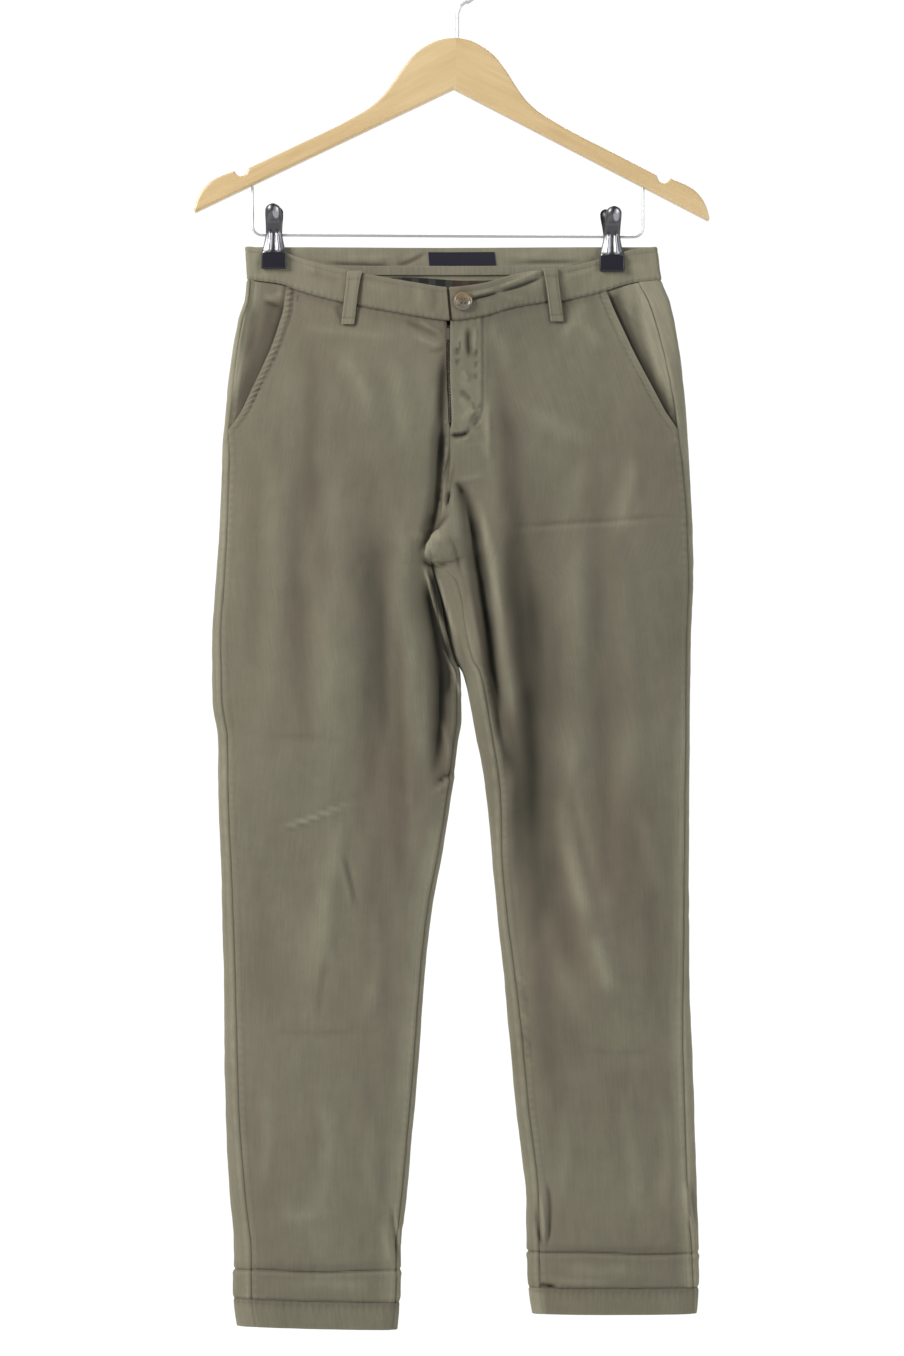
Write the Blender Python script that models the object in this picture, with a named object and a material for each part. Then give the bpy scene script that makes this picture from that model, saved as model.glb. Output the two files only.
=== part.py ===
"""Chino trousers held by two metal clips on the wire bar of a wooden hanger.

X runs across the front with the wearer's right at -X, the front faces -Y and Z is up. The origin is the inside
top of the hook, where the hanger is held. Every size in the tables is in millimetres, and add_mesh and the wire
function turn millimetres into metres. The garment is a skin worked out from a table of rings down each leg: each
panel is a wall of that skin between its seams, and what lies on a panel is the same skin moved out or in.
"""
import math

import bmesh
import bpy
import numpy as np

MM = 0.001

# ---------------------------------------------------------------- driving sizes, mm
SEAM_GAP = 0.2            # each piece stops this far short of a seam line
CLOTH = 1.2               # wall of the body panels
BAND_CLOTH = 2.6          # folded waistband: outer, interlining and inner layer
HEM_CLOTH = 2.4           # turned-up hem
LAY_GAP = 0.4             # air between a piece and the cloth it lies on

WAIST_Z = -278.3          # seam under the waistband at the sides
BAND_HEIGHT = 29.0
POCKET_Z = -409.0         # foot of the slanted pocket mouths
FORK_Z = -524.0           # where the legs part
CREASE_Z = -640.0         # the close rows end here
HEM_SEAM_Z = {"right": -1157.4, "left": -1148.0}
HEM_Z = {"right": -1181.5, "left": -1171.0}

PINCH = 3.4               # half the thickness of the waist where the clips hold it
FRONT_BOW = 17.0          # how far the front of the waist stands out between the clips
BACK_BOW = 5.0
BOW_FROM, BOW_TO = -143.0, 120.0
HIP_Z = -400.0            # from here down the leg rings set the depth
ROUNDNESS = 0.72          # exponent of the rings: under 1 gives a flat front with round sides

FLY_HALF_GAP = 1.5
FLY_FOOT_Z, FLY_CLOSING = -404.0, 12.0   # foot of the open fly edge, and the length in which it closes
POCKET_TOP_X = {"right": -140.8, "left": 129.6}   # the slanted mouths' top ends, on the waist seam
POCKET_LAP = 15.0         # how far the pocket facing runs on under the front
POCKET_FACING_BELOW = 8.0  # and how far below the mouth
POCKET_CLOTH = 1.0
POCKET_SAG = {"right": 3.2, "left": 2.0}
POCKET_SAG_FROM_Z, POCKET_SAG_TO_Z = -330.0, -370.0
BAND_CENTRE_RIGHT_X, BAND_CENTRE_LEFT_X = -6.9, -4.7   # where the two front parts of the band end
BAND_FROM_X, BAND_TO_X = -184.0, 178.0
SIDE_TURNS = (0.0, 0.045, 0.09, 0.135)   # columns round the narrow sides of the band, as turns in radians
UNDERLAP_X = (-14.0, -4.0, 6.0, 15.0, 24.0)
UNDERLAP_CLOTH = 2.0
BINDING_FROM_X, BINDING_TO_X, BINDING_COLUMNS = 100.0, -120.0, 12
BINDING_HEIGHTS, BINDING_CLOTH = (4.6, 8.8, 12.9), 1.6
LABEL_X = (34.6, 20.0, 5.6, -9.0, -23.3)
LABEL_HEIGHTS, LABEL_CLOTH = (13.4, 25.0), 0.8

# ---------------------------------------------------------------- tables, mm
# z, outer edge of the right leg, outer edge of the left leg
OUTLINE = (
    (-249.0, -182.4, 173.7), (-279.0, -181.0, 178.0), (-295.0, -182.6, 184.0), (-313.0, -188.4, 188.4),
    (-347.0, -194.4, 194.4), (-382.0, -197.9, 197.9), (-434.0, -202.2, 201.3), (-485.0, -203.9, 203.9),
    (-537.0, -207.4, 204.8), (-589.0, -210.8, 203.0), (-640.0, -210.5, 202.2), (-675.0, -206.0, 202.2),
    (-727.0, -205.4, 201.3), (-814.0, -202.2, 201.3), (-900.0, -200.4, 202.2), (-987.0, -199.6, 205.6),
    (-1073.0, -195.3, 208.2), (-1116.0, -191.8, 210.0), (-1157.0, -192.7, 209.5), (-1182.0, -189.5, 207.0),
)
# z, inner edge of the right leg, inner edge of the left leg, from the fork down
INNER_EDGE = (
    (-524.0, -22.7, -21.7), (-555.0, -14.3, -13.3), (-581.0, -9.1, -8.1), (-606.0, -2.4, -1.2),
    (-617.0, 3.6, 5.4), (-641.0, 4.5, 11.5), (-658.0, 4.3, 14.7), (-676.0, 1.7, 18.1),
    (-727.0, -4.3, 26.8), (-779.0, -13.0, 31.1), (-814.0, -19.9, 34.6), (-857.0, -25.1, 38.9),
    (-900.0, -28.5, 43.2), (-987.0, -35.4, 51.0), (-1073.0, -43.2, 60.5), (-1116.0, -47.5, 61.3),
    (-1146.0, -47.5, 62.2), (-1182.0, -50.5, 67.5),
)
# z, centre front seam, centre back seam, down to the fork
CENTRE = (
    (-279.0, -6.5, 0.0), (-314.0, -6.9, -0.5), (-409.0, -5.2, -2.0), (-475.0, -12.1, -8.0),
    (-498.0, -17.3, -14.0), (-524.0, -22.2, -22.2),
)
# z, depth of the front from the middle plane, depth of the back
DEPTH = (
    (-279.0, 17.0, 15.0), (-350.0, 21.0, 20.0), (-450.0, 25.0, 26.0), (-524.0, 24.0, 27.0),
    (-620.0, 21.0, 24.0), (-750.0, 18.0, 20.0), (-900.0, 15.5, 16.5), (-1050.0, 13.0, 13.5),
    (-1157.0, 11.0, 11.0), (-1182.0, 10.5, 10.5),
)
# x, how far the front waist seam has dropped below the sides
WAIST_DROP = (
    (-177.0, 0.0), (-152.0, 3.4), (-140.8, 7.6), (-118.4, 14.5), (-97.6, 19.8), (-34.6, 32.6), (-6.0, 36.6),
    (20.7, 33.5), (51.8, 24.5), (78.6, 19.8), (93.3, 18.0), (126.0, 10.2), (152.0, 2.6), (172.0, 0.0),
)
# z, side seam in from the outer edge of the right leg, of the left leg
SIDE_SEAM = (
    (-279.0, 3.5, 20.0), (-347.0, 5.0, 14.0), (-409.0, 4.0, 8.8), (-436.0, 6.8, 6.6), (-485.0, 7.0, 5.0),
    (-640.0, 8.6, 3.8), (-814.0, 9.5, 4.4), (-987.0, 12.0, 8.6), (-1073.0, 14.0, 8.0), (-1182.0, 17.0, 3.0),
)
# z, inseam in from the inner edge of the right leg, of the left leg
INSEAM = (
    (-524.0, 0.0, 0.0), (-555.0, 3.0, 15.0), (-590.0, 3.6, 21.0), (-632.0, 3.6, 17.0), (-693.0, 3.6, 13.5),
    (-803.0, 3.6, 8.0), (-950.0, 4.0, 11.0), (-1182.0, 4.0, 10.0),
)
# folds of the front: name, x and z of the top, middle and foot, half width, height (a trough is below 0)
FRONT_FOLDS = (
    ("valley beside the fly",    -12.0, -345.0,  -14.0, -392.0,  -15.5, -438.0,  5.0, -3.5),
    ("valley below the fly",     -15.5, -400.0,  -19.0, -455.0,  -29.0, -511.0,  6.0, -8.5),
    ("knob of the crotch",       -20.0, -497.0,  -16.0, -508.0,  -18.0, -520.0, 12.0,  5.0),
    ("valley inside right leg",  -21.0, -548.0,  -12.5, -628.0,  -20.0, -706.0,  7.0, -10.0),
    ("valley inside left leg",     5.0, -460.0,   20.0, -566.0,   44.0, -726.0,  6.5, -11.0),
    ("ridge beside it",           30.0, -492.0,   41.0, -575.0,   51.0, -676.0,  9.0,  3.5),
    ("right thigh outer ridge", -146.0, -400.0, -152.0, -520.0, -166.0, -680.0, 13.0,  3.0),
    ("right thigh hollow",      -129.0, -405.0, -132.0, -520.0, -138.0, -640.0, 10.0, -2.0),
    ("right thigh middle ridge",-100.0, -430.0, -106.0, -540.0, -110.0, -760.0, 15.0,  3.0),
    ("right thigh trough",       -69.0, -500.0,  -69.0, -620.0,  -66.0, -745.0, 12.0, -6.0),
    ("right thigh inner ridge",  -45.0, -470.0,  -42.0, -590.0,  -36.0, -745.0, 10.0,  3.5),
    ("right knee ridge",        -109.0, -760.0, -124.0, -824.0, -143.0, -890.0, 12.0,  3.0),
    ("right knee trough",       -101.0, -795.0, -109.0, -860.0, -117.0, -925.0, 12.0, -3.0),
    ("left thigh trough",         58.0, -500.0,   64.0, -670.0,   60.0, -830.0, 12.0, -7.5),
    ("left thigh ridge",         103.0, -500.0,  103.0, -684.0,   94.0, -740.0, 14.0,  4.0),
    ("left thigh hollow",        125.0, -505.0,  128.0, -620.0,  136.0, -810.0, 12.0, -3.0),
    ("left thigh outer ridge",   146.0, -500.0,  150.0, -640.0,  156.0, -760.0, 12.0,  2.5),
    ("left knee ridge",           95.0, -750.0,  117.0, -838.0,  137.0, -905.0, 13.0,  4.0),
    ("left knee trough",         134.0, -790.0,  146.0, -845.0,  156.0, -890.0, 10.0, -3.0),
)
# folds of the back, in the same columns
BACK_FOLDS = (
    ("right seat hollow",        -60.0, -420.0,  -48.0, -480.0,  -34.0, -540.0, 13.0, -5.0),
    ("left seat hollow",          62.0, -425.0,   44.0, -480.0,   22.0, -535.0, 13.0, -5.0),
    ("right thigh ridge",        -92.0, -520.0, -100.0, -640.0, -104.0, -780.0, 16.0,  4.0),
    ("left thigh ridge",          96.0, -520.0,  108.0, -650.0,  112.0, -790.0, 16.0,  4.0),
    ("right thigh trough",       -52.0, -560.0,  -56.0, -660.0,  -64.0, -790.0, 12.0, -6.0),
    ("left thigh trough",         58.0, -560.0,   68.0, -670.0,   74.0, -800.0, 12.0, -6.0),
    ("right knee ridge",         -88.0, -800.0, -110.0, -870.0, -132.0, -930.0, 14.0,  3.5),
    ("left knee ridge",          100.0, -800.0,  124.0, -870.0,  146.0, -930.0, 14.0,  3.5),
)
# rows down a leg: from z, to z, steps (the last span ends at the hem seam of each leg)
ROW_SPANS = (
    (WAIST_Z, POCKET_Z, 6), (POCKET_Z, FORK_Z, 8), (FORK_Z, CREASE_Z, 7), (CREASE_Z, None, 14),
)
# columns of a panel as shares of its width, closer beside the inner edge where the deep folds are
FRONT_COLUMNS = (
    0.0, 0.04, 0.11, 0.20, 0.29, 0.38, 0.47, 0.56, 0.64, 0.71, 0.78, 0.835, 0.88, 0.925, 0.965, 1.0,
)
BACK_COLUMNS = (0.0, 0.06, 0.15, 0.28, 0.43, 0.58, 0.73, 0.86, 0.94, 1.0)

# belt loops: name, x at the top, x at the foot, on the front
BELT_LOOPS = (
    ("belt_loop_front_right", -87.0, -93.0, True), ("belt_loop_front_left", 81.0, 87.0, True),
    ("belt_loop_back_right", -112.0, -112.0, False), ("belt_loop_back_centre", 0.0, 0.0, False),
    ("belt_loop_back_left", 106.0, 106.0, False),
)
LOOP_WIDTH, LOOP_CLOTH, LOOP_STAND = 11.5, 1.4, 2.2
LOOP_BELOW_SEAM, LOOP_BACK_HEIGHT = 17.0, 47.0
LOOP_ENDS_GAP = 0.6        # the ends of a loop lie this far off the panel

# strips behind the fly: name, edges from the centre seam, z of the top and foot, thickness, distance behind
FLY_STRIPS = (
    ("fly_shield", -4.0, 30.0, -318.5, -412.0, 1.0, 4.8),
    ("zip_tape", -4.0, 5.5, -318.5, -403.0, 0.9, 3.4),
)
# zip slider: the plan of its body from its own middle, x and y, and its top, middle and foot
SLIDER_PLAN = (
    (-3.2, 3.0), (3.2, 3.0), (3.2, 1.7), (1.1, 1.7), (1.1, -0.4), (-1.1, -0.4), (-1.1, 1.7), (-3.2, 1.7),
)
SLIDER_TOP_Z, SLIDER_Z, SLIDER_FOOT_Z = -321.5, -326.5, -331.5

BUTTON_X, BUTTON_Z, BUTTON_GAP, BUTTON_SIDES = 6.0, -298.4, 0.35, 20
# button: radius and distance in front of its back (below 0 is forward)
BUTTON_PROFILE = ((0.0, 0.0), (6.6, 0.0), (8.0, -1.0), (8.0, -2.0), (6.9, -3.0), (5.4, -2.1), (0.0, -1.7))

# ---------------------------------------------------------------- hanger sizes, mm
WOOD_THICKNESS, WOOD_ROUND, WOOD_STEPS = 12.0, 2.6, 3
WOOD_TOP_Z = -69.0
WOOD_LEAN = math.radians(0.95)
WOOD_APEX_DROP = 44.5                 # underside of the wood below its top, at the middle
WOOD_TIP = (222.3, 155.0)             # reach and drop of each lower tip
# top edge of one half of the wood: reach from the middle, drop from the top, down to the notch
WOOD_TOP_EDGE = (
    (0.0, 0.0), (11.0, 1.5), (21.6, 6.0), (34.0, 14.7), (44.5, 27.6), (56.0, 44.9), (63.0, 53.6),
    (72.6, 62.2), (86.4, 70.8), (102.0, 79.4), (137.4, 96.8), (176.3, 116.1),
)
NOTCH_CENTRE, NOTCH_RADIUS = (182.4, 117.2), 5.6
NOTCH_FROM, NOTCH_TO, NOTCH_STEPS = math.radians(-162.0), math.radians(18.0), 7
# the rounded end beyond the notch
WOOD_END = ((190.6, 119.6), (200.0, 123.2), (208.0, 127.6), (215.0, 134.6), (220.0, 143.4), (222.4, 151.6))

HOOK_RADIUS, HOOK_INNER_RADIUS, HOOK_BEND_Z = 1.6, 19.5, -48.0
HOOK_X, HOOK_DEPTH, SOCKET_GAP = 1.1, 16.0, 0.3
HOOK_JOIN = ((3.6, -41.2), (8.4, -37.6))                # x and z of the bend between the shaft and the ring
HOOK_RING_FROM, HOOK_RING_TO = math.radians(-62.0), math.radians(190.0)   # the ring's start and its open end

BAR_RADIUS, BAR_CORNER, BAR_DEPTH = 1.2, 8.0, 8.0
BAR_LEFT, BAR_RIGHT = (-175.8, -239.2), (161.6, -240.9)   # corners of the bar, x and z

# clips: name, x, top z, lean of the front plate, lean of the back plate
CLIPS = (
    ("clip_right", -157.3, -213.3, math.radians(-1.0), math.radians(2.0)),
    ("clip_left", 134.6, -215.6, math.radians(3.6), math.radians(-8.0)),
)
# one clip plate: drop below its top, half width, distance of its outer face from the middle plane
CLIP_PLATE = (
    (0.0, 1.8, 11.6), (0.8, 3.8, 11.5), (2.4, 5.6, 11.2), (5.0, 6.8, 10.6), (9.0, 7.0, 9.5), (18.0, 6.8, 6.6),
    (24.5, 6.9, 5.2), (28.0, 7.4, 5.1), (41.7, 10.3, 6.2),
)
PLATE_METAL, PIVOT_DROP = 1.0, 25.8
SLEEVE_LENGTH, SLEEVE_RADIUS = 9.0, 3.8
PAD_WIDTH, PAD_HEIGHT, PAD_THICKNESS, PAD_ROUND = 21.6, 13.8, 3.6, 0.9


# ---------------------------------------------------------------- curves through the tables
def smooth(rows, column, at):
    """Value of a table's column at z or x, on a monotone cubic through its rows."""
    order = sorted(rows)
    xs = np.array([row[0] for row in order])
    ys = np.array([row[column] for row in order])
    slopes = np.diff(ys) / np.diff(xs)
    product = slopes[:-1] * slopes[1:]
    total = slopes[:-1] + slopes[1:]
    inner = np.where(product > 0.0, 2.0 * product / np.where(total == 0.0, 1.0, total), 0.0)
    tangents = np.concatenate(([slopes[0]], inner, [slopes[-1]]))
    at = np.clip(np.asarray(at, dtype=float), xs[0], xs[-1])
    k = np.clip(np.searchsorted(xs, at, side="right") - 1, 0, len(slopes) - 1)
    step = xs[k + 1] - xs[k]
    t = (at - xs[k]) / step
    rise = t * t * (3.0 - 2.0 * t)
    enter = t * (1.0 - t) ** 2
    leave = t * t * (1.0 - t)
    return ys[k] * (1.0 - rise) + ys[k + 1] * rise + step * (tangents[k] * enter - tangents[k + 1] * leave)


def ramp(value, start, end):
    """0 at start, 1 at end, with an easy start and stop."""
    t = np.clip((value - start) / (end - start), 0.0, 1.0)
    return t * t * (3.0 - 2.0 * t)


def column_of(leg):
    return 1 if leg == "right" else 2


def fold_height(folds, x, z):
    """Sum of the folds at x, z: each is a bell across its path, fading at both ends."""
    height = np.zeros_like(x)
    for _, x0, z0, x1, z1, x2, z2, width, rise in folds:
        path = smooth(((z0, x0), (z1, x1), (z2, x2)), 1, z)
        fade = 0.22 * (z0 - z2)
        along = ramp(z, z0 + 0.3 * fade, z0 - fade) * ramp(z, z2 - 0.3 * fade, z2 + fade)
        height += rise * along * np.exp(-((x - path) / width) ** 2)
    return height


# ---------------------------------------------------------------- the skin of the garment
def waist_drop(x):
    return smooth(WAIST_DROP, 1, x)


def waist_depth(x, z, front):
    """Distance of the waist from the middle plane: pinched at the clips, bowed between them."""
    edge = np.minimum(x - smooth(OUTLINE, 1, z), smooth(OUTLINE, 2, z) - x)
    inside = np.clip(edge / PINCH, 0.0, 1.0)
    bow = np.sin(math.pi * np.clip((x - BOW_FROM) / (BOW_TO - BOW_FROM), 0.0, 1.0)) ** 2
    return PINCH * np.sqrt(1.0 - (1.0 - inside) ** 2) + np.where(front, FRONT_BOW, BACK_BOW) * bow


def ring_point(leg, share, front, row, folded=True):
    """Point of a leg's ring: share runs from 0 at the outer edge to 1 at the inner, row is its height."""
    column = column_of(leg)
    share = np.clip(share, 0.0, 1.0)
    outer = smooth(OUTLINE, column, row)
    centre = np.where(front, smooth(CENTRE, 1, row), smooth(CENTRE, 2, row))
    inner = np.where(row > FORK_Z, centre, smooth(INNER_EDGE, column, row))
    x = outer + (inner - outer) * share
    hip = ramp(row, WAIST_Z, HIP_Z)
    z = row - np.where(front, waist_drop(x) * (1.0 - ramp(row, WAIST_Z, POCKET_Z - 40.0)), 0.0)
    rounding = (2.0 * np.sqrt(share * (1.0 - share))) ** ROUNDNESS
    cleft = np.where(front, ramp(row, FORK_Z + 12.0, FORK_Z), ramp(row, FORK_Z + 75.0, FORK_Z))
    profile = np.where(share > 0.5, 1.0 - cleft * (1.0 - rounding), rounding)
    depth = np.where(front, smooth(DEPTH, 1, row), smooth(DEPTH, 2, row))
    out = (1.0 - hip) * waist_depth(x, row, front) + hip * depth * profile
    if folded:
        folds = np.where(front, fold_height(FRONT_FOLDS, x, z), fold_height(BACK_FOLDS, x, z))
        out += hip * np.clip(profile / 0.7, 0.0, 1.0) ** 2 * folds
    return np.stack([x, np.where(front, -out, out), z], axis=-1)


def share_of(leg, x, front, row):
    outer = smooth(OUTLINE, column_of(leg), row)
    centre = np.where(front, smooth(CENTRE, 1, row), smooth(CENTRE, 2, row))
    inner = np.where(row > FORK_Z, centre, smooth(INNER_EDGE, column_of(leg), row))
    return (x - outer) / (inner - outer)


def angle_of_share(share):
    return np.arccos(1.0 - 2.0 * np.clip(share, 0.0, 1.0))


def side_seam_x(leg, row):
    inward = 1.0 if leg == "right" else -1.0
    return smooth(OUTLINE, column_of(leg), row) + inward * smooth(SIDE_SEAM, column_of(leg), row)


def slant_x(leg, row):
    """Where the slanted pocket mouth crosses a row, on the straight line between its two ends."""
    top = POCKET_TOP_X[leg]
    foot = side_seam_x(leg, POCKET_Z)
    return top + (foot - top) * np.clip((row - WAIST_Z) / (POCKET_Z - WAIST_Z), 0.0, 1.0)


def front_start_x(leg, row):
    return np.where(row > POCKET_Z, slant_x(leg, row), side_seam_x(leg, row))


def front_end_x(leg, row):
    """Inner edge of the front panel: the centre seam, drawn back along the fly, then the inseam."""
    away = -1.0 if leg == "right" else 1.0
    fly = FLY_HALF_GAP * ramp(row, FLY_FOOT_Z, FLY_FOOT_Z + FLY_CLOSING)
    inseam = smooth(INNER_EDGE, column_of(leg), row) + away * smooth(INSEAM, column_of(leg), row)
    return np.where(row > FORK_Z, smooth(CENTRE, 1, row) + away * fly, inseam)


def front_panel_point(leg):
    def point(u, row):
        x = front_start_x(leg, row) + (front_end_x(leg, row) - front_start_x(leg, row)) * u
        return ring_point(leg, share_of(leg, x, True, row), True, row)
    return point


def back_panel_point(leg):
    """The back runs from the centre seam or inseam, round the back, to the side seam on the front."""
    def point(u, row):
        inseam = share_of(leg, front_end_x(leg, row), True, row)
        start = np.where(row > FORK_Z, math.pi, angle_of_share(inseam))
        side = angle_of_share(share_of(leg, side_seam_x(leg, row), True, row))
        last = BACK_COLUMNS[-2]
        turn = 2.0 * math.pi
        angle = np.where(
            u <= last, start + (turn - start) * u / last, turn + side * (u - last) / (1.0 - last))
        angle = np.where(row > FORK_Z, np.maximum(angle, math.pi), angle)
        on_front = np.where(row > FORK_Z, angle > turn, np.sin(angle) >= 0.0)
        return ring_point(leg, 0.5 * (1.0 - np.cos(angle)), on_front, row)
    return point


def skin_point(x, z, front, folded=True):
    """Point of the garment's outer face at a true height, on the band or on the panels."""
    row = z
    for _ in range(12):
        row = z + np.where(front, waist_drop(x) * (1.0 - ramp(row, WAIST_Z, POCKET_Z - 40.0)), 0.0)
    on_right = x < np.where(front, smooth(CENTRE, 1, row), smooth(CENTRE, 2, row))
    body_row = np.minimum(row, WAIST_Z)
    right = ring_point("right", share_of("right", x, front, body_row), front, body_row, folded)[..., 1]
    left = ring_point("left", share_of("left", x, front, body_row), front, body_row, folded)[..., 1]
    return np.stack([x + 0.0 * z, np.where(on_right, right, left), z + 0.0 * x], axis=-1)


def band_point(angle, height):
    """Point of the waistband: angle 0 is the right side, pi the left side, the front lies between."""
    front = np.sin(angle) >= 0.0
    level = WAIST_Z + height
    left, right = smooth(OUTLINE, 2, level), smooth(OUTLINE, 1, level)
    x = 0.5 * (left + right) - 0.5 * (left - right) * np.cos(angle)
    y = waist_depth(x, level, front)
    z = level - np.where(front, waist_drop(x), 0.0)
    return np.stack([x, np.where(front, -y, y), z], axis=-1)


def band_angle(x):
    """Angle of the waistband at x, at half its height."""
    level = WAIST_Z + 0.5 * BAND_HEIGHT
    left, right = float(smooth(OUTLINE, 2, level)), float(smooth(OUTLINE, 1, level))
    return math.acos((left + right - 2.0 * x) / (left - right))


# ---------------------------------------------------------------- meshes
def material(name, colour, roughness, metallic=0.0):
    made = bpy.data.materials.new(name)
    made.use_nodes = True
    made.diffuse_color = (*colour, 1.0)
    shader = made.node_tree.nodes["Principled BSDF"]
    shader.inputs["Base Color"].default_value = (*colour, 1.0)
    shader.inputs["Roughness"].default_value = roughness
    shader.inputs["Metallic"].default_value = metallic
    return made


def add_mesh(name, points, faces, look, sharp_degrees=45.0):
    """A named object from points in millimetres."""
    mesh = bpy.data.meshes.new(name)
    mesh.from_pydata([tuple(MM * value for value in point) for point in points], [], faces)
    work = bmesh.new()
    work.from_mesh(mesh)
    bmesh.ops.recalc_face_normals(work, faces=work.faces)
    work.to_mesh(mesh)
    work.free()
    mesh.materials.append(look)
    mesh.shade_smooth()
    mesh.set_sharp_from_angle(angle=math.radians(sharp_degrees))
    made = bpy.data.objects.new(name, mesh)
    bpy.context.collection.objects.link(made)
    return made


def unit(vectors):
    return vectors / np.linalg.norm(vectors, axis=-1, keepdims=True)


def wall(name, point, us, vs, thickness, look, facing, gaps=(SEAM_GAP,) * 4, offset=None, round_u=False):
    """A wall of cloth on a skin.

    point(u, v) is the skin, thickness lies inside it, facing is the rough way out at its middle, gaps are taken
    off the edges at the first u, last u, first v and last v, and offset(u, v) moves the wall inward, or outward
    where it is below 0.
    """
    u, v = np.meshgrid(np.asarray(us, dtype=float), np.asarray(vs, dtype=float), indexing="ij")
    du = 0.004 * abs(us[-1] - us[0])
    dv = 1.0
    along_u = unit(point(u + du, v) - point(u - du, v)) * np.sign(us[-1] - us[0])
    along_v = unit(point(u, v + dv) - point(u, v - dv)) * np.sign(vs[-1] - vs[0])
    normal = unit(np.cross(along_u, along_v))
    middle = normal[len(us) // 2, len(vs) // 2]
    normal *= np.sign(np.dot(middle, np.array(facing)))
    outer = point(u, v)
    if offset is not None:
        outer = outer - normal * offset(u, v)[..., None]
    if not round_u:
        outer[0] += gaps[0] * along_u[0]
        outer[-1] -= gaps[1] * along_u[-1]
    outer[:, 0] += gaps[2] * along_v[:, 0]
    outer[:, -1] -= gaps[3] * along_v[:, -1]
    inner = outer - normal * thickness
    return add_mesh(name, *grid_shell(outer, inner, round_u), look)


def behind(distance):
    """An offset for wall() that is the same everywhere."""
    return lambda u, v: np.full_like(u, distance)


def grid_shell(outer, inner, round_u=False):
    """Points and triangles of a closed wall between two grids, which may join up in their first direction."""
    nu, nv = outer.shape[:2]
    points = np.concatenate([outer.reshape(-1, 3), inner.reshape(-1, 3)]).tolist()
    back = nu * nv

    def at(i, j, side=0):
        return side * back + (i % nu) * nv + j

    faces = []
    spans = nu if round_u else nu - 1
    for i in range(spans):
        for j in range(nv - 1):
            a, b, c, d = at(i, j), at(i + 1, j), at(i + 1, j + 1), at(i, j + 1)
            faces += [(a, b, c), (a, c, d), (c + back, b + back, a + back), (d + back, c + back, a + back)]
    rims = [[(at(i, j), at(i + 1, j)) for i in range(spans)] for j in (0, nv - 1)]
    if not round_u:
        rims += [[(at(i, j + 1), at(i, j)) for j in range(nv - 1)] for i in (0, nu - 1)]
    for k, rim in enumerate(rims):
        for a, b in rim:
            if k % 2:
                a, b = b, a
            faces += [(b, a, a + back), (b, a + back, b + back)]
    return points, faces


def wire(name, route, radius, look, resolution=2):
    """A round wire along points in millimetres, with closed ends."""
    curve = bpy.data.curves.new(name, "CURVE")
    curve.dimensions = "3D"
    curve.bevel_depth = MM * radius
    curve.bevel_resolution = resolution
    curve.use_fill_caps = True
    spline = curve.splines.new("POLY")
    spline.points.add(len(route) - 1)
    for spot, (x, y, z) in zip(spline.points, route):
        spot.co = (MM * x, MM * y, MM * z, 1.0)
    curve.materials.append(look)
    made = bpy.data.objects.new(name, curve)
    bpy.context.collection.objects.link(made)
    return made


def cylinder_between(start, end, radius, sides=12):
    """Points and faces of a closed cylinder between two points in one upright plane."""
    start, end = np.array(start), np.array(end)
    axis = unit(end - start)
    across = np.array((0.0, 1.0, 0.0))
    third = np.cross(axis, across)
    points, faces = [], []
    for centre in (start, end):
        for k in range(sides):
            turn = 2.0 * math.pi * k / sides
            points.append(tuple(centre + radius * (math.cos(turn) * across + math.sin(turn) * third)))
    for k in range(sides):
        n = (k + 1) % sides
        faces.append((k, n, sides + n, sides + k))
    faces += [tuple(range(sides))[::-1], tuple(range(sides, 2 * sides))]
    return points, faces


# ---------------------------------------------------------------- trousers
def leg_rows(leg):
    rows = [WAIST_Z]
    for start, end, steps in ROW_SPANS:
        end = HEM_SEAM_Z[leg] if end is None else end
        rows += [start + (end - start) * k / steps for k in range(1, steps + 1)]
    return rows


def make_panels(cloth):
    for leg in ("right", "left"):
        rows = leg_rows(leg)
        wall(f"front_{leg}", front_panel_point(leg), FRONT_COLUMNS, rows, CLOTH, cloth, (0, -1, 0))
        wall(f"back_{leg}", back_panel_point(leg), BACK_COLUMNS, rows, CLOTH, cloth, (0, 1, 0))


def make_hems(cloth):
    """The turned-up hem of each leg is one closed band."""
    for leg in ("right", "left"):
        angles = [math.radians(a) for a in (0, 14, 30, 52, 76, 104, 128, 150, 166)]
        angles += [angle + math.pi for angle in angles]

        def point(angle, row, leg=leg):
            return ring_point(leg, 0.5 * (1.0 - np.cos(angle)), np.sin(angle) >= 0.0, row)

        inward = 1 if leg == "left" else -1
        wall(f"hem_{leg}", point, angles, (HEM_SEAM_Z[leg], HEM_Z[leg]), HEM_CLOTH, cloth, (inward, 0, 0),
             gaps=(0.0, 0.0, SEAM_GAP, 0.0), round_u=True)


def band_columns(start, end, steps, round_start=False, round_end=False):
    """Angles along the band at even steps of x, with extra ones round its narrow sides."""
    xs = np.linspace(start, end, steps + 1)
    angles = [band_angle(x) for x in xs[1:-1]]
    angles = (list(SIDE_TURNS) if round_start else [band_angle(start)]) + angles
    return angles + ([math.pi - turn for turn in SIDE_TURNS[::-1]] if round_end else [band_angle(end)])


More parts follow.
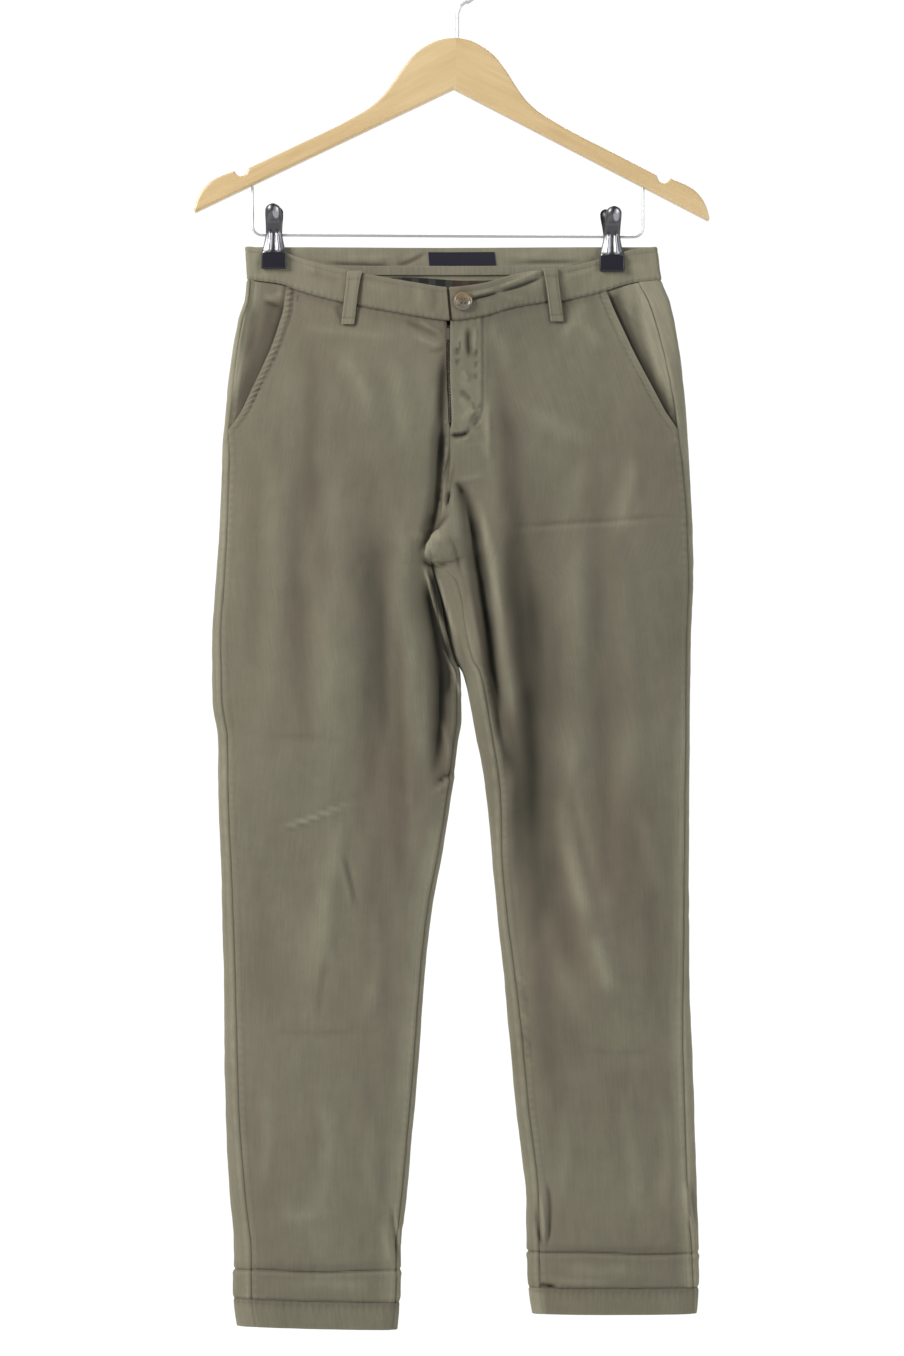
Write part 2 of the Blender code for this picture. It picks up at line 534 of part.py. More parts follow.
def make_waistband(cloth, binding_cloth, label_cloth):
    heights = (0.0, 0.5 * BAND_HEIGHT, BAND_HEIGHT)
    edge = (SEAM_GAP, SEAM_GAP, SEAM_GAP, 0.0)
    right = band_columns(BAND_FROM_X, BAND_CENTRE_RIGHT_X, 9, round_start=True)
    left = band_columns(BAND_CENTRE_LEFT_X, BAND_TO_X, 9, round_end=True)
    wall("waistband_front_right", band_point, right, heights, BAND_CLOTH, cloth, (0, -1, 0), edge)
    wall("waistband_front_left", band_point, left, heights, BAND_CLOTH, cloth, (0, -1, 0), edge)
    round_back = band_columns(BAND_FROM_X, BAND_TO_X, 15, round_start=True, round_end=True)
    back = [math.pi + angle for angle in round_back]
    wall("waistband_back", band_point, back, heights, BAND_CLOTH, cloth, (0, 1, 0), edge)

    no_gaps = (0.0,) * 4
    inside = behind(BAND_CLOTH + LAY_GAP)
    under = [band_angle(x) for x in UNDERLAP_X]
    under_heights = (1.0, BAND_HEIGHT - 1.0)
    wall("waistband_underlap", band_point, under, under_heights, UNDERLAP_CLOTH, cloth, (0, -1, 0),
         no_gaps, inside)
    bound_x = np.linspace(BINDING_FROM_X, BINDING_TO_X, BINDING_COLUMNS)
    bound = [2.0 * math.pi - band_angle(x) for x in bound_x]
    wall("waistband_binding", band_point, bound, BINDING_HEIGHTS, BINDING_CLOTH, binding_cloth, (0, 1, 0),
         no_gaps, inside)
    tag = [2.0 * math.pi - band_angle(x) for x in LABEL_X]
    wall("blank_label", band_point, tag, LABEL_HEIGHTS, LABEL_CLOTH, label_cloth, (0, 1, 0), no_gaps, inside)


def make_pocket_facings(cloth):
    """The cloth seen inside each slanted mouth, running on under the front panel."""
    foot = POCKET_Z - POCKET_FACING_BELOW
    rows = [WAIST_Z - 0.6] + [WAIST_Z + (foot - WAIST_Z) * k / 9 for k in range(1, 10)]
    for leg in ("right", "left"):
        lap = POCKET_LAP if leg == "right" else -POCKET_LAP
        deepest = POCKET_SAG[leg]

        def point(u, row, leg=leg, lap=lap):
            start = side_seam_x(leg, row)
            x = start + (slant_x(leg, row) + lap - start) * u
            return ring_point(leg, share_of(leg, x, True, row), True, row)

        def sag(u, row, deepest=deepest):
            down = ramp(row, WAIST_Z, POCKET_SAG_FROM_Z) * ramp(row, POCKET_Z + 4.0, POCKET_SAG_TO_Z)
            return CLOTH + LAY_GAP + deepest * down * ramp(u, 0.0, 0.5)

        wall(f"pocket_facing_{leg}", point, (0.0, 0.2, 0.4, 0.6, 0.8, 1.0), rows, POCKET_CLOTH, cloth,
             (0, -1, 0), (SEAM_GAP + 0.1, 0.0, 0.0, 0.0), sag)


def make_fly(cloth, tape, metal):
    def centre_front(row):
        return smooth(CENTRE, 1, row)

    def strip(left, right):
        def point(u, z):
            return skin_point(centre_front(z) + left + (right - left) * u, z, True, folded=False)
        return point

    for name, left, right, top, foot, thickness, distance in FLY_STRIPS:
        columns = (0.0, 0.5, 1.0) if name == "zip_tape" else (0.0, 0.25, 0.5, 0.75, 1.0)
        look = tape if name == "zip_tape" else cloth
        wall(name, strip(left, right), columns, np.linspace(top, foot, 8), thickness, look, (0, -1, 0),
             (0.0,) * 4, behind(distance))
    x, y, _ = skin_point(np.array(centre_front(SLIDER_Z)), np.array(SLIDER_Z), True).tolist()
    count = len(SLIDER_PLAN)
    points = [(x + dx, y + dy, z) for z in (SLIDER_TOP_Z, SLIDER_FOOT_Z) for dx, dy in SLIDER_PLAN]
    faces = [(k, (k + 1) % count, count + (k + 1) % count, count + k) for k in range(count)]
    faces += [tuple(range(count)), tuple(range(count, 2 * count))[::-1]]
    add_mesh("zip_slider", points, faces, metal, 30.0)


def make_belt_loops(cloth):
    """Each loop lies on the cloth at both ends and stands off it between."""
    for name, x_top, x_foot, front in BELT_LOOPS:
        drop = float(waist_drop(np.array(x_top))) if front else 0.0
        top = WAIST_Z - drop + BAND_HEIGHT
        foot = WAIST_Z - drop - LOOP_BELOW_SEAM if front else top - LOOP_BACK_HEIGHT
        rows = [top + (foot - top) * k / 7 for k in range(8)]

        def point(u, z, x_top=x_top, x_foot=x_foot, top=top, foot=foot, front=front):
            x = x_top + (x_foot - x_top) * (z - top) / (foot - top) + u
            return skin_point(x, z, front)

        def out(u, z, top=top, foot=foot):
            bulge = np.sin(math.pi * np.clip((z - top) / (foot - top), 0.0, 1.0))
            return -(LOOP_ENDS_GAP + LOOP_CLOTH + (LOOP_STAND - LAY_GAP) * bulge)

        wall(name, point, (-0.5 * LOOP_WIDTH, 0.0, 0.5 * LOOP_WIDTH), rows, LOOP_CLOTH, cloth,
             (0, -1 if front else 1, 0), (0.0,) * 4, out)


def make_button(horn):
    """A dished button with a raised rim, its back just clear of the band."""
    reach = BUTTON_PROFILE[2][0]
    ends = np.array([BUTTON_X - reach, BUTTON_X + reach])
    band = skin_point(ends, np.full(2, BUTTON_Z), True)
    slope = math.atan2(band[1, 1] - band[0, 1], band[1, 0] - band[0, 0])
    y = 0.5 * (band[0, 1] + band[1, 1]) - BUTTON_GAP
    points, faces = [], []
    for radius, out in BUTTON_PROFILE:
        for k in range(1 if radius == 0.0 else BUTTON_SIDES):
            turn = 2.0 * math.pi * k / BUTTON_SIDES
            across = radius * math.cos(turn)
            points.append((BUTTON_X + across * math.cos(slope) - out * math.sin(slope),
                           y + across * math.sin(slope) + out * math.cos(slope),
                           BUTTON_Z + radius * math.sin(turn)))
    last = len(points) - 1
    rings = len(BUTTON_PROFILE) - 2
    for k in range(BUTTON_SIDES):
        n = (k + 1) % BUTTON_SIDES
        faces.append((0, 1 + k, 1 + n))
        for r in range(rings - 1):
            a = 1 + r * BUTTON_SIDES
            faces.append((a + k, a + BUTTON_SIDES + k, a + BUTTON_SIDES + n, a + n))
        a = 1 + (rings - 1) * BUTTON_SIDES
        faces.append((last, a + n, a + k))
    add_mesh("button", points, faces, horn, 60.0)


# ---------------------------------------------------------------- hanger
def lean(x, z):
    """A point of the wood, turned about the hook's eye by the hanger's lean."""
    cos, sin = math.cos(WOOD_LEAN), math.sin(WOOD_LEAN)
    return (x * cos + z * sin, z * cos - x * sin)


def eased(rows):
    """The rows of an edge with WOOD_STEPS points in each span, on a smooth curve."""
    reaches = []
    for (start, _), (end, _) in zip(rows, rows[1:]):
        reaches += [start + (end - start) * k / WOOD_STEPS for k in range(WOOD_STEPS)]
    reaches.append(rows[-1][0])
    return [(reach, float(smooth(rows, 1, reach))) for reach in reaches]


def half_outline():
    """One half of the wood from the middle of its top edge to its tip, as reach and drop."""
    edge = eased(WOOD_TOP_EDGE)
    for k in range(1, NOTCH_STEPS):
        turn = NOTCH_FROM + (NOTCH_TO - NOTCH_FROM) * k / NOTCH_STEPS
        reach = NOTCH_CENTRE[0] + NOTCH_RADIUS * math.cos(turn)
        edge.append((reach, NOTCH_CENTRE[1] - NOTCH_RADIUS * math.sin(turn)))
    return edge + eased(WOOD_END) + [WOOD_TIP]


def make_hanger_body(wood):
    half = half_outline()
    outline = [(reach, drop) for reach, drop in half] + [(0.0, WOOD_APEX_DROP)]
    outline += [(-reach, drop) for reach, drop in half[:0:-1]]
    flat = [lean(reach, WOOD_TOP_Z - drop) for reach, drop in outline]
    count = len(flat)
    points = [(x, y, z) for y in (-0.5 * WOOD_THICKNESS, 0.5 * WOOD_THICKNESS) for x, z in flat]
    faces = [tuple(range(count)), tuple(range(count, 2 * count))[::-1]]
    faces += [(k, count + k, count + (k + 1) % count, (k + 1) % count) for k in range(count)]
    body = add_mesh("hanger_body", points, faces, wood, 40.0)
    rim = body.modifiers.new("rounded_edges", "BEVEL")
    rim.width = MM * WOOD_ROUND
    rim.segments = 2
    rim.limit_method = "ANGLE"
    rim.angle_limit = math.radians(70.0)
    for k, (start, end, radius) in enumerate(socket_bores()):
        cutter = add_mesh(f"socket_cutter_{k}", *cylinder_between(start, end, radius), wood)
        cutter.hide_render = True
        cutter.display_type = "WIRE"
        cut = body.modifiers.new(f"socket_{k}", "BOOLEAN")
        cut.operation = "DIFFERENCE"
        cut.solver = "EXACT"
        cut.object = cutter


def underside_z(x):
    """Height of the wood's underside at x, with its lean."""
    rise = (WOOD_TIP[1] - WOOD_APEX_DROP) / WOOD_TIP[0]
    return WOOD_TOP_Z - WOOD_APEX_DROP - abs(x) * rise - x * math.sin(WOOD_LEAN)


def socket_bores():
    """Start, end and radius of the bores for the hook's shaft and the two ends of the bar."""
    hook = HOOK_RADIUS + SOCKET_GAP
    bar = BAR_RADIUS + SOCKET_GAP
    bores = [((HOOK_X, 0.0, WOOD_TOP_Z + 5.0), (HOOK_X, 0.0, WOOD_TOP_Z - HOOK_DEPTH - SOCKET_GAP), hook)]
    for x, _ in (BAR_LEFT, BAR_RIGHT):
        low = underside_z(x)
        bores.append(((x, 0.0, low - 6.0), (x, 0.0, low + BAR_DEPTH + SOCKET_GAP), bar))
    return bores


def arc(centre, radius, start, end, steps):
    return [(centre[0] + radius * math.cos(start + (end - start) * k / steps), 0.0,
             centre[1] + radius * math.sin(start + (end - start) * k / steps)) for k in range(steps + 1)]


def make_hook(steel):
    """A straight shaft that leans over into an open round hook, whose inside top is the origin."""
    radius = HOOK_INNER_RADIUS + HOOK_RADIUS
    centre = (0.0, -HOOK_INNER_RADIUS)
    route = [(HOOK_X, 0.0, z) for z in (WOOD_TOP_Z - HOOK_DEPTH, WOOD_TOP_Z + 6.0, HOOK_BEND_Z)]
    route += [(x, 0.0, z) for x, z in HOOK_JOIN]
    route += arc(centre, radius, HOOK_RING_FROM, HOOK_RING_TO, 30)
    wire("hanger_hook", route, HOOK_RADIUS, steel)


def make_clip_bar(steel):
    corner = BAR_CORNER
    (x0, z0), (x1, z1) = BAR_LEFT, BAR_RIGHT
    tops = [underside_z(x) + BAR_DEPTH for x in (x0, x1)]
    route = [(x0, 0.0, tops[0])]
    route += arc((x0 + corner, z0 + corner), corner, math.pi, 1.5 * math.pi, 5)
    route += arc((x1 - corner, z1 + corner), corner, 1.5 * math.pi, 2.0 * math.pi, 5)
    route.append((x1, 0.0, tops[1]))
    wire("clip_bar", route, BAR_RADIUS, steel)


def bar_z(x):
    share = (x - BAR_LEFT[0]) / (BAR_RIGHT[0] - BAR_LEFT[0])
    return BAR_LEFT[1] + share * (BAR_RIGHT[1] - BAR_LEFT[1])


def make_clip(name, x, top, front_lean, back_lean, steel, rubber):
    """Two sprung plates on the bar, with a pad on the lower end of each."""
    for side, way, tilt in (("front", -1.0, front_lean), ("back", 1.0, back_lean)):
        outer, inner = [], []
        for drop, half, reach in CLIP_PLATE:
            away = drop - PIVOT_DROP
            middle = x - (away if away < 0.0 else 0.0) * math.tan(tilt)
            for face, rows in ((reach, outer), (reach - PLATE_METAL, inner)):
                across = [middle + half * share for share in (-1.0, -0.5, 0.5, 1.0)]
                rows.append([(px, way * face, top - drop) for px in across])
        add_mesh(f"{name}_{side}_plate", *grid_shell(np.array(outer), np.array(inner)), steel)
        make_pad(f"{name}_{side}_pad", x, top - CLIP_PLATE[-1][0] - SEAM_GAP, way, rubber)
    make_sleeve(f"{name}_spring_sleeve", x, steel)


def make_pad(name, x, top, way, rubber):
    near = PINCH + 0.3
    spans = ((x - 0.5 * PAD_WIDTH, x + 0.5 * PAD_WIDTH), (way * near, way * (near + PAD_THICKNESS)),
             (top - PAD_HEIGHT, top))
    points = [(px, py, pz) for px in spans[0] for py in spans[1] for pz in spans[2]]
    faces = [(0, 1, 3, 2), (4, 6, 7, 5), (0, 4, 5, 1), (2, 3, 7, 6), (0, 2, 6, 4), (1, 5, 7, 3)]
    pad = add_mesh(name, points, faces, rubber)
    rim = pad.modifiers.new("soft_edges", "BEVEL")
    rim.width = MM * PAD_ROUND
    rim.segments = 2


def make_sleeve(name, x, steel, sides=14):
    """The coiled spring's sleeve round the bar, as a short tube."""
    z = bar_z(x)
    ends = (x - 0.5 * SLEEVE_LENGTH, x + 0.5 * SLEEVE_LENGTH)
    turns = [2.0 * math.pi * k / sides for k in range(sides)]

    def tube(radius):
        circle = [(radius * math.cos(turn), z + radius * math.sin(turn)) for turn in turns]
        return np.array([[(end, py, pz) for end in ends] for py, pz in circle])

    outer, inner = tube(SLEEVE_RADIUS), tube(BAR_RADIUS + SOCKET_GAP)
    add_mesh(name, *grid_shell(outer, inner, round_u=True), steel)


# ---------------------------------------------------------------- build
def main():
    for old in list(bpy.data.objects):
        bpy.data.objects.remove(old, do_unlink=True)
    cloth = material("olive_cotton_twill", (0.165, 0.150, 0.110), 0.85)
    lining = material("olive_binding", (0.180, 0.165, 0.120), 0.85)
    dark_cloth = material("dark_label_cloth", (0.025, 0.023, 0.035), 0.7)
    tape = material("zip_tape_cloth", (0.10, 0.095, 0.07), 0.8)
    zip_metal = material("zip_metal", (0.55, 0.53, 0.48), 0.35, 1.0)
    horn = material("horn_button", (0.36, 0.24, 0.11), 0.3)
    wood = material("pale_beech", (0.66, 0.48, 0.24), 0.4)
    steel = material("bright_steel", (0.62, 0.62, 0.64), 0.2, 1.0)
    black_steel = material("dark_polished_steel", (0.10, 0.10, 0.12), 0.2, 1.0)
    rubber = material("black_pad", (0.02, 0.02, 0.025), 0.5)

    make_panels(cloth)
    make_hems(cloth)
    make_waistband(cloth, lining, dark_cloth)
    make_pocket_facings(cloth)
    make_fly(cloth, tape, zip_metal)
    make_belt_loops(cloth)
    make_button(horn)
    make_hanger_body(wood)
    make_hook(steel)
    make_clip_bar(steel)
    for name, x, top, front_lean, back_lean in CLIPS:
        make_clip(name, x, top, front_lean, back_lean, black_steel, rubber)


main()
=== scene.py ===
"""Looks of the chino trousers on their clip hanger: cloth, seams, stitches, metal, wood, light and camera.

Sizes in the tables are millimetres in the part's frame: X to the wearer's left across the front, -Y out of
the front, Z up, origin at the inside top of the hook. The garment is a skin worked out from rings down a leg.
Each cloth piece is a thin shell of that skin, with its creases, seams and puckers raised or sunk along the
normal, and a tone for each point that darkens or lightens its dye: mostly painted shade in folds, seams and
recesses and painted light on ridges and edges, with some wear.
"""

import math

import bmesh
import bpy
import numpy as np
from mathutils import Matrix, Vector
from mathutils.bvhtree import BVHTree


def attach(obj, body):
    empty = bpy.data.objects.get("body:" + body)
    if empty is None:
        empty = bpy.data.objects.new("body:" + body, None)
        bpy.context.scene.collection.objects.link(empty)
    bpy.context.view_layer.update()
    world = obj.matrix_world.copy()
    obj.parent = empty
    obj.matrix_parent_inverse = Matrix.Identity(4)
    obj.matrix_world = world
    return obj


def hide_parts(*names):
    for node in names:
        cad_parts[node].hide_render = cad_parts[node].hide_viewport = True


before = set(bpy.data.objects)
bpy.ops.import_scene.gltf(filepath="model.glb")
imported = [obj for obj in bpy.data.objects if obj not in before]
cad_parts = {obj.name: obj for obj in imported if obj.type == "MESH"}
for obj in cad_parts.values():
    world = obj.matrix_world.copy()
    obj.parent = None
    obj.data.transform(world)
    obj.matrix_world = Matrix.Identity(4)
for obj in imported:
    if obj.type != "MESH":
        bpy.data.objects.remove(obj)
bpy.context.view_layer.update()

MM = 0.001
BODY = "root"

# ---------------------------------------------------------------- sizes of the garment, mm
SHELL, HEM_SHELL, BAND_SHELL = 0.9, 2.0, 2.4          # thickness of one layer of cloth, a hem and the band
LAY_GAP = 0.4                         # air under a piece that lies on a panel
WAIST_Z, BAND_HEIGHT = -278.3, 29.0   # seam below the back of the band, and the band's height over it
POCKET_Z, FORK_Z = -409.0, -524.0     # foot of the pocket mouths, and where the legs part
SLIT_Z = -612.0                       # above this the legs still touch
HEM_SEAM_Z = {"right": -1157.4, "left": -1148.0}
HEM_Z = {"right": -1181.5, "left": -1171.0}
HEM_SLANT = 3.4                       # how much lower the right hem hangs at the inseam
PINCH = 3.4                           # half the thickness of the waist between the clips' pads
FRONT_BOW, BACK_BOW = 17.0, 5.0       # how far the waist opens between the clips
BOW_FROM, BOW_TO = -143.0, 120.0      # x where it starts and stops opening
HIP_Z, ROUNDNESS = -400.0, 0.72       # its full depth starts here; exponent of its rounding
FLY_HALF_GAP, FLY_FOOT_Z, FLY_CLOSING = 1.5, -404.0, 12.0      # and the height over which the gap closes
POCKET_TOP_X = {"right": -140.8, "left": 129.6}
POCKET_LAP, POCKET_FACING_BELOW = 15.0, 8.0   # how far a facing runs on behind the panel and below the mouth
POCKET_SAG = {"right": 3.2, "left": 2.0}      # how far it sinks inside the mouth
# share of the way down a pocket's mouth, how far the worn mouth strays from straight on the right and left
POCKET_SWAY = ((0.0, -6.0, 0.0), (0.22, 2.2, -3.0), (0.52, 6.0, -5.2), (0.85, 5.0, -3.6), (1.0, 0.0, 0.0))

# z, outer edge of the right leg, outer edge of the left leg
OUTLINE = (
    (-249.0, -182.4, 173.7), (-279.0, -181.0, 178.0), (-295.0, -182.6, 184.0), (-313.0, -188.4, 188.4),
    (-347.0, -194.4, 194.4), (-382.0, -197.9, 197.9), (-434.0, -202.2, 201.3), (-485.0, -203.9, 203.9),
    (-537.0, -207.4, 204.8), (-589.0, -210.8, 203.0), (-640.0, -210.5, 202.2), (-675.0, -206.0, 202.2),
    (-727.0, -205.4, 201.3), (-814.0, -202.2, 201.3), (-900.0, -200.4, 202.2), (-987.0, -199.6, 205.6),
    (-1073.0, -195.3, 208.2), (-1116.0, -191.8, 210.0), (-1157.0, -192.7, 209.5), (-1182.0, -189.5, 207.0),
)
# z, inner edge of the right leg, inner edge of the left leg, from the fork down
INNER_EDGE = (
    (-524.0, -22.7, -21.7), (-555.0, -14.3, -13.3), (-581.0, -9.1, -8.1), (-606.0, -2.4, -1.2),
    (-617.0, 3.6, 5.4), (-641.0, 4.5, 11.5), (-658.0, 4.3, 14.7), (-676.0, 1.7, 18.1), (-727.0, -4.3, 26.8),
    (-779.0, -13.0, 31.1), (-814.0, -19.9, 34.6), (-857.0, -25.1, 38.9), (-900.0, -28.5, 43.2),
    (-987.0, -35.4, 51.0), (-1073.0, -43.2, 60.5), (-1116.0, -47.5, 61.3), (-1146.0, -47.5, 62.2),
    (-1182.0, -50.5, 67.5),
)
# z, centre front seam, centre back seam, down to the fork
CENTRE = (
    (-279.0, -6.5, 0.0), (-314.0, -6.9, -0.5), (-409.0, -5.2, -2.0), (-475.0, -12.1, -8.0),
    (-498.0, -17.3, -14.0), (-524.0, -22.2, -22.2),
)
# z, depth of the front from the middle plane, depth of the back
DEPTH = (
    (-279.0, 17.0, 15.0), (-350.0, 21.0, 20.0), (-450.0, 25.0, 26.0), (-524.0, 24.0, 27.0),
    (-620.0, 21.0, 24.0), (-750.0, 18.0, 20.0), (-900.0, 15.5, 16.5), (-1050.0, 13.0, 13.5),
    (-1157.0, 11.0, 11.0), (-1182.0, 10.5, 10.5),
)
# x, how far the front waist seam has dropped below the sides
WAIST_DROP = (
    (-177.0, 0.0), (-152.0, 3.4), (-140.8, 7.6), (-118.4, 14.5), (-97.6, 19.8), (-34.6, 32.6), (-6.0, 36.6),
    (20.7, 33.5), (51.8, 24.5), (78.6, 19.8), (93.3, 18.0), (126.0, 10.2), (152.0, 2.6), (172.0, 0.0),
)
# z, side seam in from the outer edge of the right leg, of the left leg
SIDE_SEAM = (
    (-279.0, 3.5, 20.0), (-347.0, 5.0, 14.0), (-409.0, 4.0, 8.8), (-436.0, 6.8, 6.6), (-485.0, 7.0, 5.0),
    (-640.0, 8.6, 3.8), (-814.0, 9.5, 4.4), (-987.0, 12.0, 8.6), (-1073.0, 14.0, 8.0), (-1182.0, 17.0, 3.0),
)
# z, inseam in from the inner edge of the right leg, of the left leg
INSEAM = (
    (-524.0, 0.0, 0.0), (-532.0, 3.0, 13.0), (-540.0, 3.0, 18.0), (-556.0, 3.4, 18.0), (-576.0, 3.6, 16.5),
    (-632.0, 3.6, 15.0), (-693.0, 3.6, 13.5), (-803.0, 3.6, 8.0), (-950.0, 4.0, 11.0), (-1182.0, 4.0, 10.0),
)
# main folds: x and z of the top, middle and foot, half width, height (a trough is below 0)
FRONT_FOLDS = (
    (-11.6, -345.0, -12.2, -392.0, -12.8, -438.0, 4.2, -4.0),
    (-12.8, -400.0, -14.8, -458.0, -29.0, -521.0, 5.0, -8.5),
    (-20.0, -497.0, -16.0, -508.0, -18.0, -520.0, 12.0, 5.0),
    (-27.0, -528.0, -13.5, -620.0, -18.5, -712.0, 6.0, -10.0),
    (5.0, -456.0, 23.5, -552.0, 43.0, -690.0, 6.5, -11.0),
    (30.0, -492.0, 41.0, -575.0, 51.0, -676.0, 9.0, 3.5),
    (-146.0, -400.0, -152.0, -520.0, -166.0, -680.0, 13.0, 3.0),
    (-129.0, -405.0, -132.0, -520.0, -138.0, -640.0, 10.0, -2.0),
    (-100.0, -430.0, -106.0, -540.0, -110.0, -760.0, 15.0, 3.0),
    (-69.0, -500.0, -69.0, -620.0, -66.0, -745.0, 12.0, -6.0),
    (-45.0, -470.0, -42.0, -590.0, -36.0, -745.0, 10.0, 3.5),
    (-99.0, -735.0, -109.0, -814.0, -121.0, -885.0, 10.0, 3.0),
    (58.0, -500.0, 64.0, -670.0, 60.0, -830.0, 12.0, -7.5),
    (103.0, -500.0, 103.0, -684.0, 94.0, -740.0, 14.0, 4.0),
    (125.0, -505.0, 128.0, -620.0, 136.0, -810.0, 12.0, -3.0),
    (146.0, -500.0, 150.0, -640.0, 156.0, -760.0, 12.0, 2.5),
    (95.0, -750.0, 117.0, -838.0, 137.0, -905.0, 13.0, 4.0),
)
BACK_FOLDS = (
    (-60.0, -420.0, -48.0, -480.0, -34.0, -540.0, 13.0, -5.0),
    (62.0, -425.0, 44.0, -480.0, 22.0, -535.0, 13.0, -5.0),
    (-92.0, -520.0, -100.0, -640.0, -104.0, -780.0, 16.0, 4.0),
    (96.0, -520.0, 108.0, -650.0, 112.0, -790.0, 16.0, 4.0),
    (-52.0, -560.0, -56.0, -660.0, -64.0, -790.0, 12.0, -6.0),
    (58.0, -560.0, 68.0, -670.0, 74.0, -800.0, 12.0, -6.0),
    (-88.0, -800.0, -110.0, -870.0, -132.0, -930.0, 14.0, 3.5),
    (100.0, -800.0, 124.0, -870.0, 146.0, -930.0, 14.0, 3.5),
)
# belt loops: name, x at the top, x at the foot, on the front
BELT_LOOPS = (
    ("belt_loop_front_right", -87.0, -93.0, True), ("belt_loop_front_left", 81.0, 87.0, True),
    ("belt_loop_back_right", -112.0, -112.0, False), ("belt_loop_back_centre", 0.0, 0.0, False),
    ("belt_loop_back_left", 106.0, 106.0, False),
)
LOOP_WIDTH, LOOP_CLOTH = 11.5, 1.4        # width and thickness
LOOP_STAND, LOOP_ENDS_GAP = 2.2, 0.6      # how far a loop's middle stands off, and the air under its ends
LOOP_BELOW_SEAM, LOOP_BACK_HEIGHT = 17.0, 47.0

